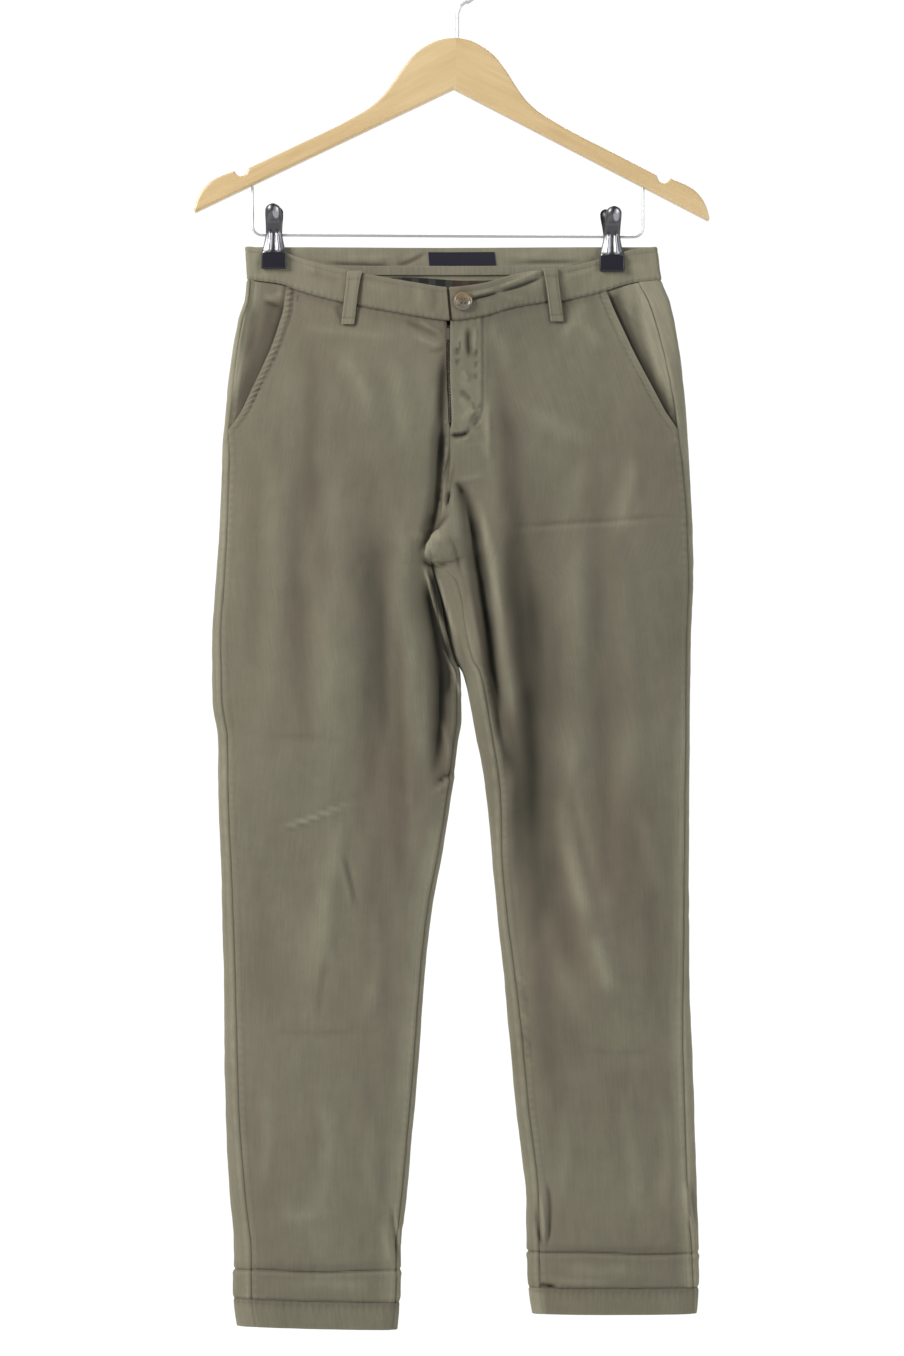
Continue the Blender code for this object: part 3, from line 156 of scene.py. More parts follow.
# small creases, one by one: x and z of three points along each, half width, height, any lean to one side
FRONT_CREASES = (
    (-44.9, -314.4, -27.6, -323.0, -10.4, -330.8, 2.2, -0.9),
    (-32.8, -314.4, -20.7, -321.3, -9.5, -326.5, 1.8, 0.8),
    (-38.0, -325.6, -22.5, -334.2, -9.5, -336.8, 2.4, 0.8),
    (-24.2, -341.2, -16.4, -341.2, -8.6, -338.6, 1.8, -0.6),
    (-137.4, -318.7, -89.9, -324.7, -42.3, -330.8, 4.0, 0.5),
    (-102.8, -299.7, -101.1, -306.6, -98.5, -314.4, 2.0, -0.8),
    (-108.9, -340.3, -82.9, -364.5, -72.6, -407.7, 7.0, 0.7),
    (-55.3, -340.3, -48.4, -381.8, -44.9, -425.0, 8.0, 0.6),
    (11.2, -318.7, 10.4, -334.2, 12.1, -348.1, 2.2, -1.5, 0.2),
    (15.6, -319.6, 16.4, -329.9, 15.6, -343.8, 2.4, 0.8), (1.7, -337.7, 1.7, -341.2, 2.6, -345.5, 2.0, -0.8),
    (1.7, -348.1, 1.7, -350.7, 2.6, -354.1, 1.8, -0.7), (17.3, -339.4, 18.1, -342.9, 17.3, -346.3, 1.7, -0.7),
    (17.3, -349.8, 18.1, -352.4, 17.3, -355.8, 1.7, -0.6),
    (17.3, -359.3, 18.1, -362.8, 17.3, -366.2, 1.7, -0.6), (5.2, -357.6, 8.6, -361.9, 11.2, -367.9, 2.2, 0.6),
    (2.6, -376.6, 8.6, -380.0, 13.0, -385.2, 1.8, -0.8),
    (13.0, -385.2, 16.4, -388.7, 14.7, -393.9, 1.6, -0.7),
    (12.1, -393.9, 17.3, -393.0, 22.5, -389.5, 2.0, 0.8),
    (10.4, -402.5, 16.4, -400.8, 21.6, -395.6, 2.0, -0.7),
    (11.2, -407.7, 15.6, -406.8, 21.6, -403.4, 1.7, 0.8),
    (-4.3, -412.9, 3.5, -413.7, 13.0, -410.3, 1.7, -1.8), (-0.9, -417.2, 6.0, -417.2, 13.8, -414.6, 2.0, 0.6),
    (27.6, -380.0, 27.6, -407.7, 28.5, -437.9, 3.2, 1.0),
    (-2.6, -452.6, 12.1, -450.9, 28.5, -448.3, 2.6, 0.6), (-0.9, -454.3, 3.5, -458.7, 6.0, -465.6, 1.8, -1.2),
    (26.8, -321.3, 38.9, -335.1, 43.2, -366.2, 7.0, 0.7),
    (115.8, -295.4, 103.7, -312.6, 89.9, -334.2, 6.0, 0.8),
    (102.8, -310.9, 115.8, -322.2, 127.0, -340.3, 5.0, 0.6),
    (42.3, -492.4, 115.8, -488.0, 193.5, -482.9, 2.4, -0.5),
    (42.3, -495.8, 115.8, -491.5, 193.5, -486.3, 3.0, 0.4),
    (55.3, -381.8, 89.9, -407.7, 124.4, -416.3, 9.0, 0.7),
    (159.0, -425.0, 146.0, -468.2, 143.4, -502.7, 8.0, 0.9),
    (124.4, -442.2, 98.5, -468.2, 89.9, -520.0, 9.0, 0.3),
    (-7.8, -418.9, -8.6, -450.9, -11.2, -482.0, 1.7, 1.4, 0.3),
    (-5.2, -421.5, -6.0, -445.7, -8.6, -473.4, 1.3, -1.0),
    (-6.0, -461.3, -6.9, -468.2, -9.5, -475.9, 1.9, -2.0),
    (-4.3, -478.5, -15.6, -494.1, -28.5, -508.8, 2.2, -1.6),
    (-7.8, -499.3, -0.9, -513.1, 4.3, -537.3, 1.2, -0.9),
    (-27.0, -507.0, -25.0, -509.0, -23.5, -512.0, 1.3, -0.5),
    (-18.0, -514.0, -15.5, -516.5, -13.0, -516.0, 1.4, -0.6),
    (-17.3, -503.6, -13.0, -507.0, -10.4, -512.2, 2.4, -0.5),
    (-27.6, -526.1, -17.3, -559.8, -6.0, -603.0, 1.4, 1.7),
    (-6.0, -603.0, 0.0, -623.7, 4.3, -641.0, 1.4, 1.1), (-20.7, -526.1, -9.5, -554.6, 6.0, -609.9, 1.7, 0.9),
    (6.9, -459.5, 13.8, -520.0, 28.5, -613.3, 2.0, 1.0, 0.2),
    (28.5, -613.3, 37.2, -649.6, 44.9, -692.8, 2.2, 0.9),
    (20.7, -468.2, 31.1, -520.0, 41.5, -589.1, 3.6, 1.2),
    (-19.9, -714.4, -10.4, -708.4, 0.0, -700.6, 2.0, -1.4),
    (-19.0, -718.7, -9.5, -713.5, 0.0, -706.6, 2.4, 0.8),
    (-13.8, -658.2, -7.8, -675.5, -6.0, -697.1, 2.2, 0.7),
    (-152.1, -752.4, -115.8, -740.3, -80.4, -728.2, 2.6, 1.0, 0.3),
    (-150.3, -748.1, -114.9, -736.0, -79.5, -723.9, 2.2, -0.6),
    (-96.8, -772.0, -90.5, -796.5, -84.7, -822.0, 1.9, -0.8),
    (-101.0, -771.0, -95.0, -796.5, -89.5, -822.0, 2.4, 0.6),
    (-110.6, -857.8, -115.0, -888.0, -119.2, -918.3, 3.0, -0.6),
    (-160.7, -926.1, -117.5, -927.8, -74.3, -924.4, 2.6, -0.4),
    (-167.6, -675.5, -134.8, -672.1, -91.6, -677.3, 3.0, -0.35),
    (-74.3, -813.8, -69.1, -865.6, -74.3, -917.4, 7.0, 0.8),
    (90.7, -711.0, 99.4, -775.8, 118.4, -840.6, 8.0, 1.3),
    (118.4, -840.6, 127.9, -869.9, 134.8, -896.7, 7.0, 1.0),
    (159.0, -727.4, 167.6, -770.6, 171.9, -813.8, 8.0, 0.8),
    (76.9, -813.8, 89.9, -865.6, 115.8, -934.7, 9.0, 0.8),
    (107.1, -939.0, 141.7, -945.1, 176.3, -941.6, 3.0, -0.35),
    (51.8, -876.0, 56.2, -882.0, 62.2, -886.3, 1.9, 0.7),
    (53.6, -891.5, 58.8, -896.7, 64.8, -902.8, 1.9, -0.6),
    (54.4, -908.8, 60.5, -915.7, 65.7, -919.2, 2.0, 0.7),
    (55.3, -929.5, 61.3, -934.7, 67.4, -941.6, 1.9, -0.6),
    (57.9, -947.7, 63.1, -953.7, 69.1, -957.2, 2.0, 0.6),
    (-167.6, -969.3, -160.7, -1012.5, -167.6, -1064.3, 6.0, 0.7),
    (-117.5, -977.9, -108.9, -1029.8, -119.2, -1090.2, 8.0, 0.8),
    (-67.4, -986.6, -72.6, -1038.4, -65.7, -1098.9, 7.0, 0.7),
    (89.9, -986.6, 95.0, -1029.8, 89.9, -1081.6, 7.0, 0.7),
    (141.7, -969.3, 152.1, -1029.8, 159.0, -1098.9, 8.0, 0.8),
    (178.0, -986.6, 183.2, -1029.8, 176.3, -1090.2, 6.0, 0.7),
    (-56.2, -1073.0, -52.7, -1100.6, -50.1, -1125.7, 1.6, -1.1),
    (-45.8, -1092.8, -46.7, -1107.5, -47.5, -1121.4, 1.5, -1.0),
    (-51.8, -1085.9, -49.2, -1103.2, -47.5, -1116.2, 1.8, 0.7),
    (-62.2, -1090.2, -58.8, -1111.8, -55.3, -1126.5, 3.0, 0.7),
    (76.9, -1054.0, 81.2, -1079.9, 77.8, -1117.0, 1.8, -1.3),
    (68.3, -1073.0, 70.8, -1097.2, 76.0, -1115.3, 1.8, -1.1),
    (72.6, -1064.3, 76.0, -1090.2, 76.9, -1110.1, 2.0, 1.1),
    (198.7, -1054.0, 199.6, -1078.2, 207.4, -1100.6, 2.0, 1.5),
    (203.9, -1052.2, 204.8, -1076.4, 210.0, -1097.2, 2.2, -1.2),
    (71.7, -1144.7, 78.6, -1146.4, 87.3, -1146.4, 2.0, -1.8),
    (76.9, -1140.4, 107.1, -1143.0, 141.7, -1143.0, 3.5, 0.6),
    (89.9, -1126.5, 124.4, -1133.4, 159.0, -1126.5, 6.0, 0.5),
    (-143.4, -1146.4, -108.9, -1143.8, -65.7, -1150.7, 5.0, 0.5),
    (-152.1, -1083.3, -134.8, -1086.8, -108.9, -1081.6, 5.0, 0.5),
)
BACK_CREASES = (
    (0.0, -312.6, 12.1, -364.5, 5.2, -416.3, 7.0, 0.6),
    (-31.1, -321.3, -20.7, -381.8, -13.8, -442.2, 6.0, -0.7),
    (38.0, -321.3, 27.6, -381.8, 12.1, -442.2, 6.0, -0.7),
    (-134.8, -347.2, -108.9, -399.0, -65.7, -442.2, 9.0, 1.0),
    (133.1, -347.2, 107.1, -399.0, 63.9, -442.2, 9.0, 1.0),
    (-108.9, -321.3, -91.6, -364.5, -82.9, -407.7, 8.0, -0.8),
    (102.8, -321.3, 89.9, -364.5, 81.2, -407.7, 8.0, -0.8),
    (-48.4, -450.9, -31.1, -468.2, -15.6, -502.7, 4.0, -1.3),
    (55.3, -450.9, 29.4, -472.5, 5.2, -507.0, 4.0, -1.3),
    (-61.3, -468.2, -44.1, -485.4, -24.2, -520.0, 5.0, 1.2),
    (63.9, -468.2, 38.0, -489.8, 12.1, -520.0, 5.0, 1.2),
    (-57.0, -520.0, -39.7, -528.6, -17.3, -530.4, 3.0, -1.1),
    (16.4, -533.0, 38.0, -530.4, 55.3, -520.0, 3.0, -1.1),
    (-186.6, -520.0, -167.6, -589.1, -171.1, -658.2, 7.0, 1.0),
    (189.2, -520.0, 171.9, -589.1, 176.3, -658.2, 7.0, 1.0),
    (-134.8, -589.1, -117.5, -658.2, -121.0, -718.7, 9.0, 1.0),
    (124.4, -589.1, 115.8, -658.2, 121.0, -718.7, 9.0, 1.0),
    (-162.4, -760.2, -117.5, -749.8, -72.6, -763.7, 2.6, -1.0),
    (-159.0, -765.4, -115.8, -755.9, -70.8, -768.8, 2.8, 0.8),
    (-143.4, -786.1, -108.9, -779.2, -65.7, -789.6, 2.4, -0.8),
    (-134.8, -818.1, -108.9, -813.8, -81.2, -820.7, 3.0, -0.6),
    (72.6, -753.3, 117.5, -742.9, 167.6, -758.5, 2.6, -1.0),
    (74.3, -759.3, 119.2, -749.8, 167.6, -763.7, 2.8, 0.8),
    (89.9, -780.9, 124.4, -775.8, 159.0, -784.4, 2.4, -0.8),
    (107.1, -813.8, 133.1, -810.3, 159.0, -817.2, 3.0, -0.6),
    (-108.9, -839.7, -117.5, -891.5, -108.9, -952.0, 8.0, 0.9),
    (124.4, -839.7, 137.4, -891.5, 128.7, -952.0, 8.0, 0.9),
    (-167.6, -908.8, -160.7, -960.6, -165.9, -1012.5, 6.0, 0.7),
    (167.6, -908.8, 176.3, -960.6, 171.9, -1012.5, 6.0, 0.7),
    (-100.2, -986.6, -107.1, -1038.4, -98.5, -1090.2, 8.0, 0.8),
    (115.8, -986.6, 124.4, -1038.4, 117.5, -1090.2, 8.0, 0.8),
    (-178.0, -1073.0, -172.8, -1098.9, -176.3, -1126.5, 2.0, -0.9),
    (202.2, -1064.3, 197.0, -1090.2, 200.4, -1112.7, 2.0, -0.9),
    (-57.0, -1090.2, -53.6, -1111.8, -55.3, -1129.1, 2.0, 0.8),
    (79.5, -1077.3, 77.8, -1098.9, 80.4, -1114.4, 2.0, 0.8),
)
BAND_CREASES = (
    (34.6, -291.0, 55.3, -284.1, 76.0, -275.5, 1.7, -2.0, 0.3),
    (36.3, -286.7, 55.3, -279.0, 73.4, -271.2, 2.4, 1.4),
    (12.1, -296.2, 24.2, -293.6, 36.3, -290.2, 1.1, -1.2),
    (12.1, -292.8, 24.2, -290.2, 36.3, -286.7, 1.6, 0.7),
    (-131.3, -271.2, -113.2, -276.4, -96.8, -281.5, 3.0, -0.5),
    (86.4, -271.2, 98.5, -265.1, 110.6, -258.2, 2.2, -0.8),
    (91.6, -279.0, 107.1, -272.9, 124.4, -267.7, 3.0, 0.5),
    (-36.3, -285.0, -31.1, -293.6, -34.6, -305.7, 4.0, 0.5),
    (-20.7, -286.7, -17.3, -297.1, -21.6, -309.2, 3.0, -0.4),
    (42.3, -291.9, 51.0, -295.4, 63.9, -293.6, 3.0, 0.5),
    (-78.6, -281.5, -65.7, -286.7, -48.4, -288.5, 4.0, 0.4),
    (141.7, -262.5, 155.5, -267.7, 167.6, -266.0, 4.0, 0.4),
    (-171.1, -259.1, -167.6, -267.7, -169.3, -276.4, 4.0, -0.4),
    (-134.8, -262.5, -126.1, -267.7, -119.2, -274.6, 3.0, 0.4),
)
FACING_CREASES = (
    (-116.6, -262.5, -79.5, -265.1, -53.6, -264.3, 1.8, -1.2),
    (-53.6, -264.3, -39.7, -261.7, -24.2, -251.3, 1.8, -1.1),
    (-100.2, -257.4, -74.3, -259.1, -48.4, -256.5, 3.0, 0.6),
    (55.3, -262.5, 81.2, -262.5, 111.5, -261.7, 1.8, -1.2),
    (38.0, -253.9, 55.3, -257.4, 81.2, -254.8, 3.0, 0.6),
    (-20.7, -262.5, -13.8, -259.1, -5.2, -257.4, 3.0, 0.4),
)
# painted shade and painted light in and beside the soft folds: as the small creases, with a tone for the
# height
SOFT_SHADES = (
    (-123.6, -312.6, -124.4, -416.3, -129.6, -537.3, 7.8, -0.5),
    (-129.6, -520.0, -130.5, -606.4, -127.9, -727.4, 10.4, -0.38),
    (-167.6, -416.3, -172.8, -537.3, -171.1, -692.8, 8.6, -0.3),
    (-102.0, -520.0, -103.7, -606.4, -100.2, -727.4, 6.9, 0.2),
    (-116.6, -407.7, -116.6, -459.5, -115.8, -520.0, 4.3, 0.12),
    (-74.3, -425.0, -73.4, -485.4, -67.4, -554.6, 14.7, -0.45),
    (-64.8, -502.7, -63.9, -606.4, -59.6, -692.8, 7.8, -0.95),
    (-60.5, -658.2, -51.8, -736.0, -46.7, -813.8, 7.8, -0.65),
    (-67.4, -710.1, -70.8, -813.8, -72.6, -926.1, 10.4, -0.38),
    (-100.2, -740.3, -108.0, -813.8, -120.1, -887.2, 6.0, 0.4),
    (-89.9, -813.8, -95.9, -865.6, -102.0, -934.7, 6.9, -0.12),
    (-165.0, -753.3, -167.6, -839.7, -167.6, -934.7, 10.4, -0.18),
    (-134.8, -813.8, -130.5, -882.9, -121.0, -952.0, 12.1, 0.22),
    (-134.8, -952.0, -119.2, -1012.5, -115.8, -1073.0, 8.6, -0.2),
    (-76.0, -960.6, -72.6, -1012.5, -70.8, -1090.2, 8.6, -0.32),
    (-167.6, -969.3, -160.7, -1029.8, -167.6, -1098.9, 12.1, -0.1),
    (35.4, -317.0, 38.0, -373.1, 44.9, -433.6, 6.9, -0.4),
    (39.7, -373.1, 48.4, -442.2, 48.4, -520.0, 10.4, -0.85),
    (49.2, -468.2, 55.3, -554.6, 58.8, -632.3, 10.4, -1.0),
    (57.9, -589.1, 63.9, -675.5, 64.8, -761.9, 9.5, -1.25),
    (63.9, -710.1, 69.1, -787.8, 72.6, -865.6, 10.4, -0.95),
    (71.7, -822.4, 76.0, -908.8, 83.8, -986.6, 10.4, -0.55),
    (82.9, -952.0, 91.6, -1012.5, 96.8, -1081.6, 10.4, -0.36),
    (55.3, -390.4, 79.5, -554.6, 89.9, -710.1, 20.7, -0.42),
    (88.1, -658.2, 96.8, -770.6, 102.0, -882.9, 17.3, -0.5),
    (44.9, -632.3, 50.1, -692.8, 52.7, -770.6, 5.2, -0.5),
    (47.5, -545.9, 48.4, -606.4, 50.1, -666.9, 3.5, 0.4),
    (96.8, -671.2, 105.4, -727.4, 124.4, -813.8, 5.2, 0.5),
    (122.7, -796.5, 133.1, -848.3, 140.0, -900.2, 6.0, 0.36),
    (104.5, -425.0, 104.5, -520.0, 104.5, -615.0, 5.2, 0.16),
    (120.1, -381.8, 120.1, -502.7, 121.0, -606.4, 7.8, -0.26),
    (134.8, -468.2, 140.0, -589.1, 140.0, -710.1, 13.0, -0.42),
    (152.1, -675.5, 148.6, -770.6, 143.4, -865.6, 13.0, -0.5),
    (150.3, -399.0, 151.2, -450.9, 153.8, -520.0, 8.6, 0.12),
    (165.9, -718.7, 167.6, -779.2, 169.3, -900.2, 7.8, -0.3),
    (133.1, -934.7, 143.4, -1003.8, 152.1, -1073.0, 12.1, -0.26),
    (115.8, -952.0, 124.4, -1012.5, 127.9, -1073.0, 7.8, 0.1),
    (-38.0, -545.9, -39.7, -623.7, -36.3, -718.7, 4.3, 0.22),
    (-29.4, -589.1, -25.9, -658.2, -22.5, -727.4, 3.5, 0.55),
    (-55.3, -796.5, -58.8, -857.0, -62.2, -934.7, 6.9, -0.25),
    (69.1, -658.2, 77.8, -727.4, 89.9, -813.8, 9.5, -0.45),
    (102.8, -839.7, 124.4, -882.9, 159.0, -934.7, 17.3, -0.22),
    (89.9, -813.8, 95.0, -900.2, 100.2, -969.3, 12.1, -0.3),
    (124.4, -813.8, 133.1, -839.7, 137.4, -891.5, 8.6, -0.35),
    (-160.7, -1064.3, -134.8, -1085.9, -100.2, -1098.9, 17.3, 0.16),
    (95.0, -554.6, 98.5, -623.7, 100.2, -692.8, 7.8, -0.22),
    (-136.5, -520.0, -134.8, -597.8, -133.1, -684.2, 7.8, -0.2),
    (-89.9, -589.1, -91.6, -641.0, -91.6, -692.8, 8.6, 0.22),
    (48.4, -710.1, 50.1, -744.6, 51.8, -796.5, 5.2, -0.4),
    (79.5, -761.9, 82.9, -813.8, 91.6, -891.5, 9.5, -0.45),
    (159.0, -718.7, 167.6, -831.0, 171.9, -952.0, 10.4, -0.28),
    (124.4, -710.1, 127.9, -761.9, 131.3, -813.8, 6.9, -0.22),
    (98.5, -770.6, 114.0, -908.8, 127.9, -1073.0, 38.0, -0.12),
    (-117.5, -805.1, -113.2, -874.2, -117.5, -952.0, 22.5, 0.17),
    (-77.8, -796.5, -74.3, -857.0, -70.8, -908.8, 6.0, -0.3),
    (-108.9, -787.8, -107.1, -822.4, -105.4, -874.2, 6.0, -0.18),
    (-62.2, -710.1, -63.9, -770.6, -65.7, -822.4, 7.8, -0.22),
    (-134.8, -1098.9, -108.9, -1126.5, -82.9, -1150.7, 22.5, 0.18),
    (-41.5, -641.0, -38.0, -692.8, -32.8, -744.6, 4.3, -0.3),
    (96.8, -727.4, 102.0, -779.2, 110.6, -839.7, 4.3, 0.25),
    (134.8, -874.2, 136.5, -917.4, 133.1, -977.9, 12.1, 0.2),
    (38.0, -416.3, 39.7, -450.9, 42.3, -485.4, 6.0, -0.35),
    (20.7, -476.8, 30.2, -541.6, 40.6, -610.7, 2.6, 0.4),
    (41.5, -481.1, 45.8, -554.6, 51.0, -636.6, 5.6, -0.66),
    (63.0, -500.0, 66.0, -560.0, 69.0, -625.0, 6.0, -0.16),
    (54.4, -502.7, 59.6, -580.5, 63.9, -649.6, 4.3, 0.38),
    (65.7, -520.0, 73.4, -606.4, 81.2, -692.8, 11.2, -0.6),
    (-50.1, -554.6, -48.4, -641.0, -44.9, -736.0, 6.0, -0.65),
    (-37.2, -554.6, -34.6, -632.3, -27.6, -718.7, 4.3, 0.75),
    (-119.2, -425.0, -116.6, -494.1, -115.8, -571.8, 7.8, -0.45),
    (-155.5, -381.8, -152.1, -450.9, -150.3, -520.0, 6.0, -0.25),
    (-58.8, -364.5, -55.3, -394.7, -53.6, -425.0, 6.0, -0.22),
    (38.0, -381.8, 76.9, -407.7, 115.8, -442.2, 19.0, -0.18),
    (155.5, -416.3, 157.2, -446.6, 157.2, -476.8, 6.0, -0.3),
    (-43.2, -494.1, -38.9, -528.6, -32.0, -571.8, 6.0, 0.35),
    (42.3, -632.3, 46.7, -675.5, 49.2, -727.4, 4.3, -0.45),
    (75.2, -1113.6, 133.1, -1114.4, 197.0, -1112.7, 3.5, -0.3),
    (79.5, -1128.3, 134.8, -1134.3, 193.5, -1128.3, 5.2, 0.16),
    (-176.3, -1128.3, -117.5, -1130.0, -51.8, -1126.5, 3.5, -0.28),
    (-174.5, -1142.1, -117.5, -1145.5, -55.3, -1142.1, 5.2, 0.16),
    (37.2, -641.0, 40.6, -679.8, 44.9, -723.0, 3.5, -0.7),
    (79.5, -641.0, 82.9, -692.8, 86.4, -753.3, 6.9, -0.3),
    (-50.1, -641.0, -46.7, -684.2, -44.1, -727.4, 5.2, -0.25),
    (-45.8, -701.4, -44.1, -727.4, -41.5, -761.9, 4.3, -0.4),
    (-30.2, -632.3, -27.6, -675.5, -24.2, -727.4, 3.5, 0.35),
    (124.4, -623.7, 126.1, -692.8, 129.6, -753.3, 7.8, -0.24),
    (84.7, -563.2, 87.3, -615.0, 89.9, -675.5, 6.0, -0.26),
    (-119.2, -770.6, -115.8, -800.8, -117.5, -826.7, 6.9, 0.22),
    (36.3, -779.2, 38.0, -805.1, 40.6, -839.7, 5.2, -0.28),
    (-45.8, -498.4, -44.1, -520.0, -41.5, -545.9, 4.3, 0.3),
    (25.9, -507.0, 29.4, -533.0, 32.8, -563.2, 3.5, -0.3),
    (-82.9, -710.1, -82.9, -731.7, -81.2, -761.9, 6.9, -0.18),
)
# the same painted shade and light in the deep folds beside the fly and inside the legs, on the front only
DEEP_SHADES = (
    (-9.5, -295.4, -9.5, -329.9, -11.2, -362.8, 2.2, -0.6),
    (-20.7, -478.5, -24.2, -488.9, -28.5, -501.0, 3.5, -0.5),
    (-4.3, -425.0, -7.8, -457.8, -12.1, -482.0, 1.7, 0.8),
    (-1.7, -435.3, -5.2, -459.5, -9.5, -480.3, 1.0, -0.9),
    (32.0, -641.0, 39.7, -673.8, 48.4, -705.8, 3.9, -0.8),
    (-22.5, -525.2, -13.8, -551.1, -3.5, -593.4, 2.9, -1.9),
    (-16.4, -589.1, -3.5, -613.3, 4.3, -641.0, 1.1, 0.9),
    (-19.0, -526.1, -8.6, -556.3, 3.5, -603.0, 1.1, 1.2),
    (-26.8, -317.0, -17.3, -322.2, -10.4, -324.7, 1.9, -0.45),
    (-44.1, -309.2, -26.8, -311.8, -11.2, -314.4, 2.6, -0.25),
    (19.9, -325.6, 19.9, -334.2, 17.3, -342.0, 2.1, 0.35), (5.2, -321.3, 4.3, -331.7, 6.9, -343.8, 2.6, 0.35),
    (3.5, -367.1, 8.6, -369.7, 13.8, -373.1, 2.2, 0.35), (0.9, -374.9, 8.6, -377.4, 13.8, -387.8, 1.6, -0.75),
    (2.6, -381.8, 6.0, -385.2, 8.6, -390.4, 2.4, 0.35), (22.5, -384.4, 17.3, -393.0, 10.4, -402.5, 1.7, -1.1),
    (20.7, -394.7, 16.4, -402.5, 18.1, -410.3, 1.7, -0.65),
    (15.6, -388.7, 8.6, -393.9, 5.2, -402.5, 2.1, 0.45),
    (24.2, -388.7, 20.7, -397.3, 22.5, -407.7, 2.1, 0.35),
    (-5.2, -418.1, 4.3, -418.9, 13.8, -413.7, 2.1, 0.4),
    (-0.9, -424.1, 12.1, -422.4, 25.9, -419.8, 2.2, 0.22),
    (-91.6, -308.3, -52.7, -314.4, -11.2, -319.6, 5.2, -0.25),
    (19.0, -402.5, 24.2, -416.3, 31.1, -430.2, 2.6, -0.25),
    (-2.6, -316.1, 16.4, -311.8, 38.0, -306.6, 2.2, -0.55),
    (-5.2, -507.9, 3.5, -528.6, 10.4, -558.0, 0.9, -0.3),
    (-13.8, -454.3, -16.4, -476.8, -23.3, -497.5, 4.7, -0.95),
    (-29.4, -521.7, -19.0, -554.6, -3.5, -603.8, 1.1, 1.3),
    (18.1, -316.1, 12.1, -329.9, 14.7, -342.0, 2.4, -0.55),
    (13.0, -335.1, 13.0, -342.0, 16.4, -348.1, 2.1, -0.5),
    (-5.2, -413.7, 3.5, -415.5, 10.4, -410.3, 1.9, -0.8),
    (6.9, -412.0, 12.1, -406.0, 19.9, -402.5, 1.7, -0.7), (0.0, -338.6, 2.6, -341.2, 4.3, -344.6, 2.2, -0.4),
    (0.0, -348.1, 2.6, -348.9, 5.2, -348.1, 2.1, -0.3), (12.1, -359.3, 14.7, -362.8, 17.3, -364.5, 2.2, -0.4),
    (-27.6, -535.6, -19.0, -570.1, -13.0, -609.9, 5.6, -1.8),
    (-16.4, -583.9, -11.2, -632.3, -12.1, -682.4, 7.3, -1.55),
    (-12.1, -660.0, -13.0, -691.1, -14.7, -722.2, 5.2, -0.8),
    (8.6, -541.6, 15.6, -576.2, 22.5, -613.3, 2.2, 0.5),
    (-10.4, -340.3, -12.1, -377.4, -13.0, -409.4, 4.0, -1.75),
    (-11.2, -393.9, -10.4, -431.9, -13.0, -469.9, 4.5, -1.0),
    (0.0, -449.2, 11.2, -479.4, 19.0, -513.1, 4.8, -1.75),
    (15.6, -492.4, 21.6, -545.9, 26.8, -587.4, 7.1, -1.25),
    (23.3, -558.9, 29.4, -610.7, 34.6, -656.5, 6.9, -1.2),
    (-19.9, -554.6, -13.8, -580.5, -7.8, -613.3, 3.9, -0.9),
    (-4.3, -449.2, 0.0, -472.5, 5.2, -501.0, 5.2, 0.55), (5.2, -554.6, 13.8, -597.8, 22.5, -649.6, 3.9, 0.45),
    (-8.6, -426.7, -7.8, -450.9, -11.2, -478.5, 2.4, -0.9),
    (17.3, -475.1, 24.2, -520.0, 29.4, -563.2, 3.6, -0.55),
    (27.6, -550.2, 32.8, -602.1, 38.0, -653.9, 3.6, -0.6),
    (-8.6, -576.2, -6.0, -610.7, -7.8, -642.7, 3.6, -1.2),
    (-24.2, -530.4, -15.6, -551.1, -7.8, -582.2, 3.5, -1.2),
    (-28.5, -507.9, -21.6, -514.0, -12.1, -516.6, 6.9, 0.9),
    (-155.5, -755.9, -119.2, -742.9, -81.2, -727.4, 1.3, -0.55),
    (-155.5, -752.4, -119.2, -739.5, -81.2, -723.9, 1.6, 0.45),
    (-29.4, -520.0, -24.2, -524.3, -18.1, -526.1, 2.1, -1.7),
    (-15.6, -520.0, -12.1, -524.3, -7.8, -522.6, 1.7, -1.2),
    (-3.5, -576.2, 5.2, -602.1, 10.4, -632.3, 2.2, -0.35),
)
# painted shade and light along the creases of the waistband's inner back
FACING_SHADES = (
    (-115.8, -262.5, -84.7, -264.7, -50.1, -264.7, 1.5, -1.1),
    (-53.6, -264.7, -38.0, -261.2, -24.2, -252.2, 1.6, -0.8),
    (-50.1, -257.4, -38.0, -255.6, -27.6, -251.3, 2.1, 0.4),
    (38.0, -262.5, 76.9, -262.5, 110.6, -262.1, 1.3, -0.8),
)
# painted light and shade inside the pocket mouths and beside them
HIP_SHADES = (
    (-181.4, -291.9, -187.5, -338.6, -194.4, -402.5, 3.6, 1.0),
    (-190.1, -295.4, -194.4, -340.3, -198.7, -388.7, 1.3, -0.5),
    (-167.6, -297.1, -159.0, -298.8, -151.2, -301.4, 1.7, -0.9),
    (-148.6, -288.5, -157.2, -291.9, -167.6, -295.4, 2.2, 0.5),
    (159.8, -295.4, 169.3, -334.2, 183.2, -381.8, 4.3, 0.5),
    (141.7, -295.4, 150.3, -310.9, 165.9, -321.3, 1.7, -0.35),
)
# soft unevenness of worn cloth: turns per metre along x and z, phase, height
WAVES = (
    (31.0, 4.0, 0.3, 0.16), (-17.0, 9.0, 1.9, 0.2), (44.0, -13.0, 4.1, 0.1), (9.0, 27.0, 2.6, 0.12),
    (61.0, 22.0, 5.2, 0.06), (-52.0, 41.0, 0.9, 0.05), (23.0, -61.0, 3.3, 0.05),
)
# stitched line of the fly, x and z
FLY_STITCH = (
    (23.0, -313.0), (23.0, -345.0), (23.0, -375.0), (22.8, -391.0), (20.5, -399.5), (16.0, -406.0),
    (9.5, -411.0), (2.0, -413.2), (-3.0, -413.6),
)
POCKET_STITCH = 6.2       # distance of the pocket's stitched line from its mouth
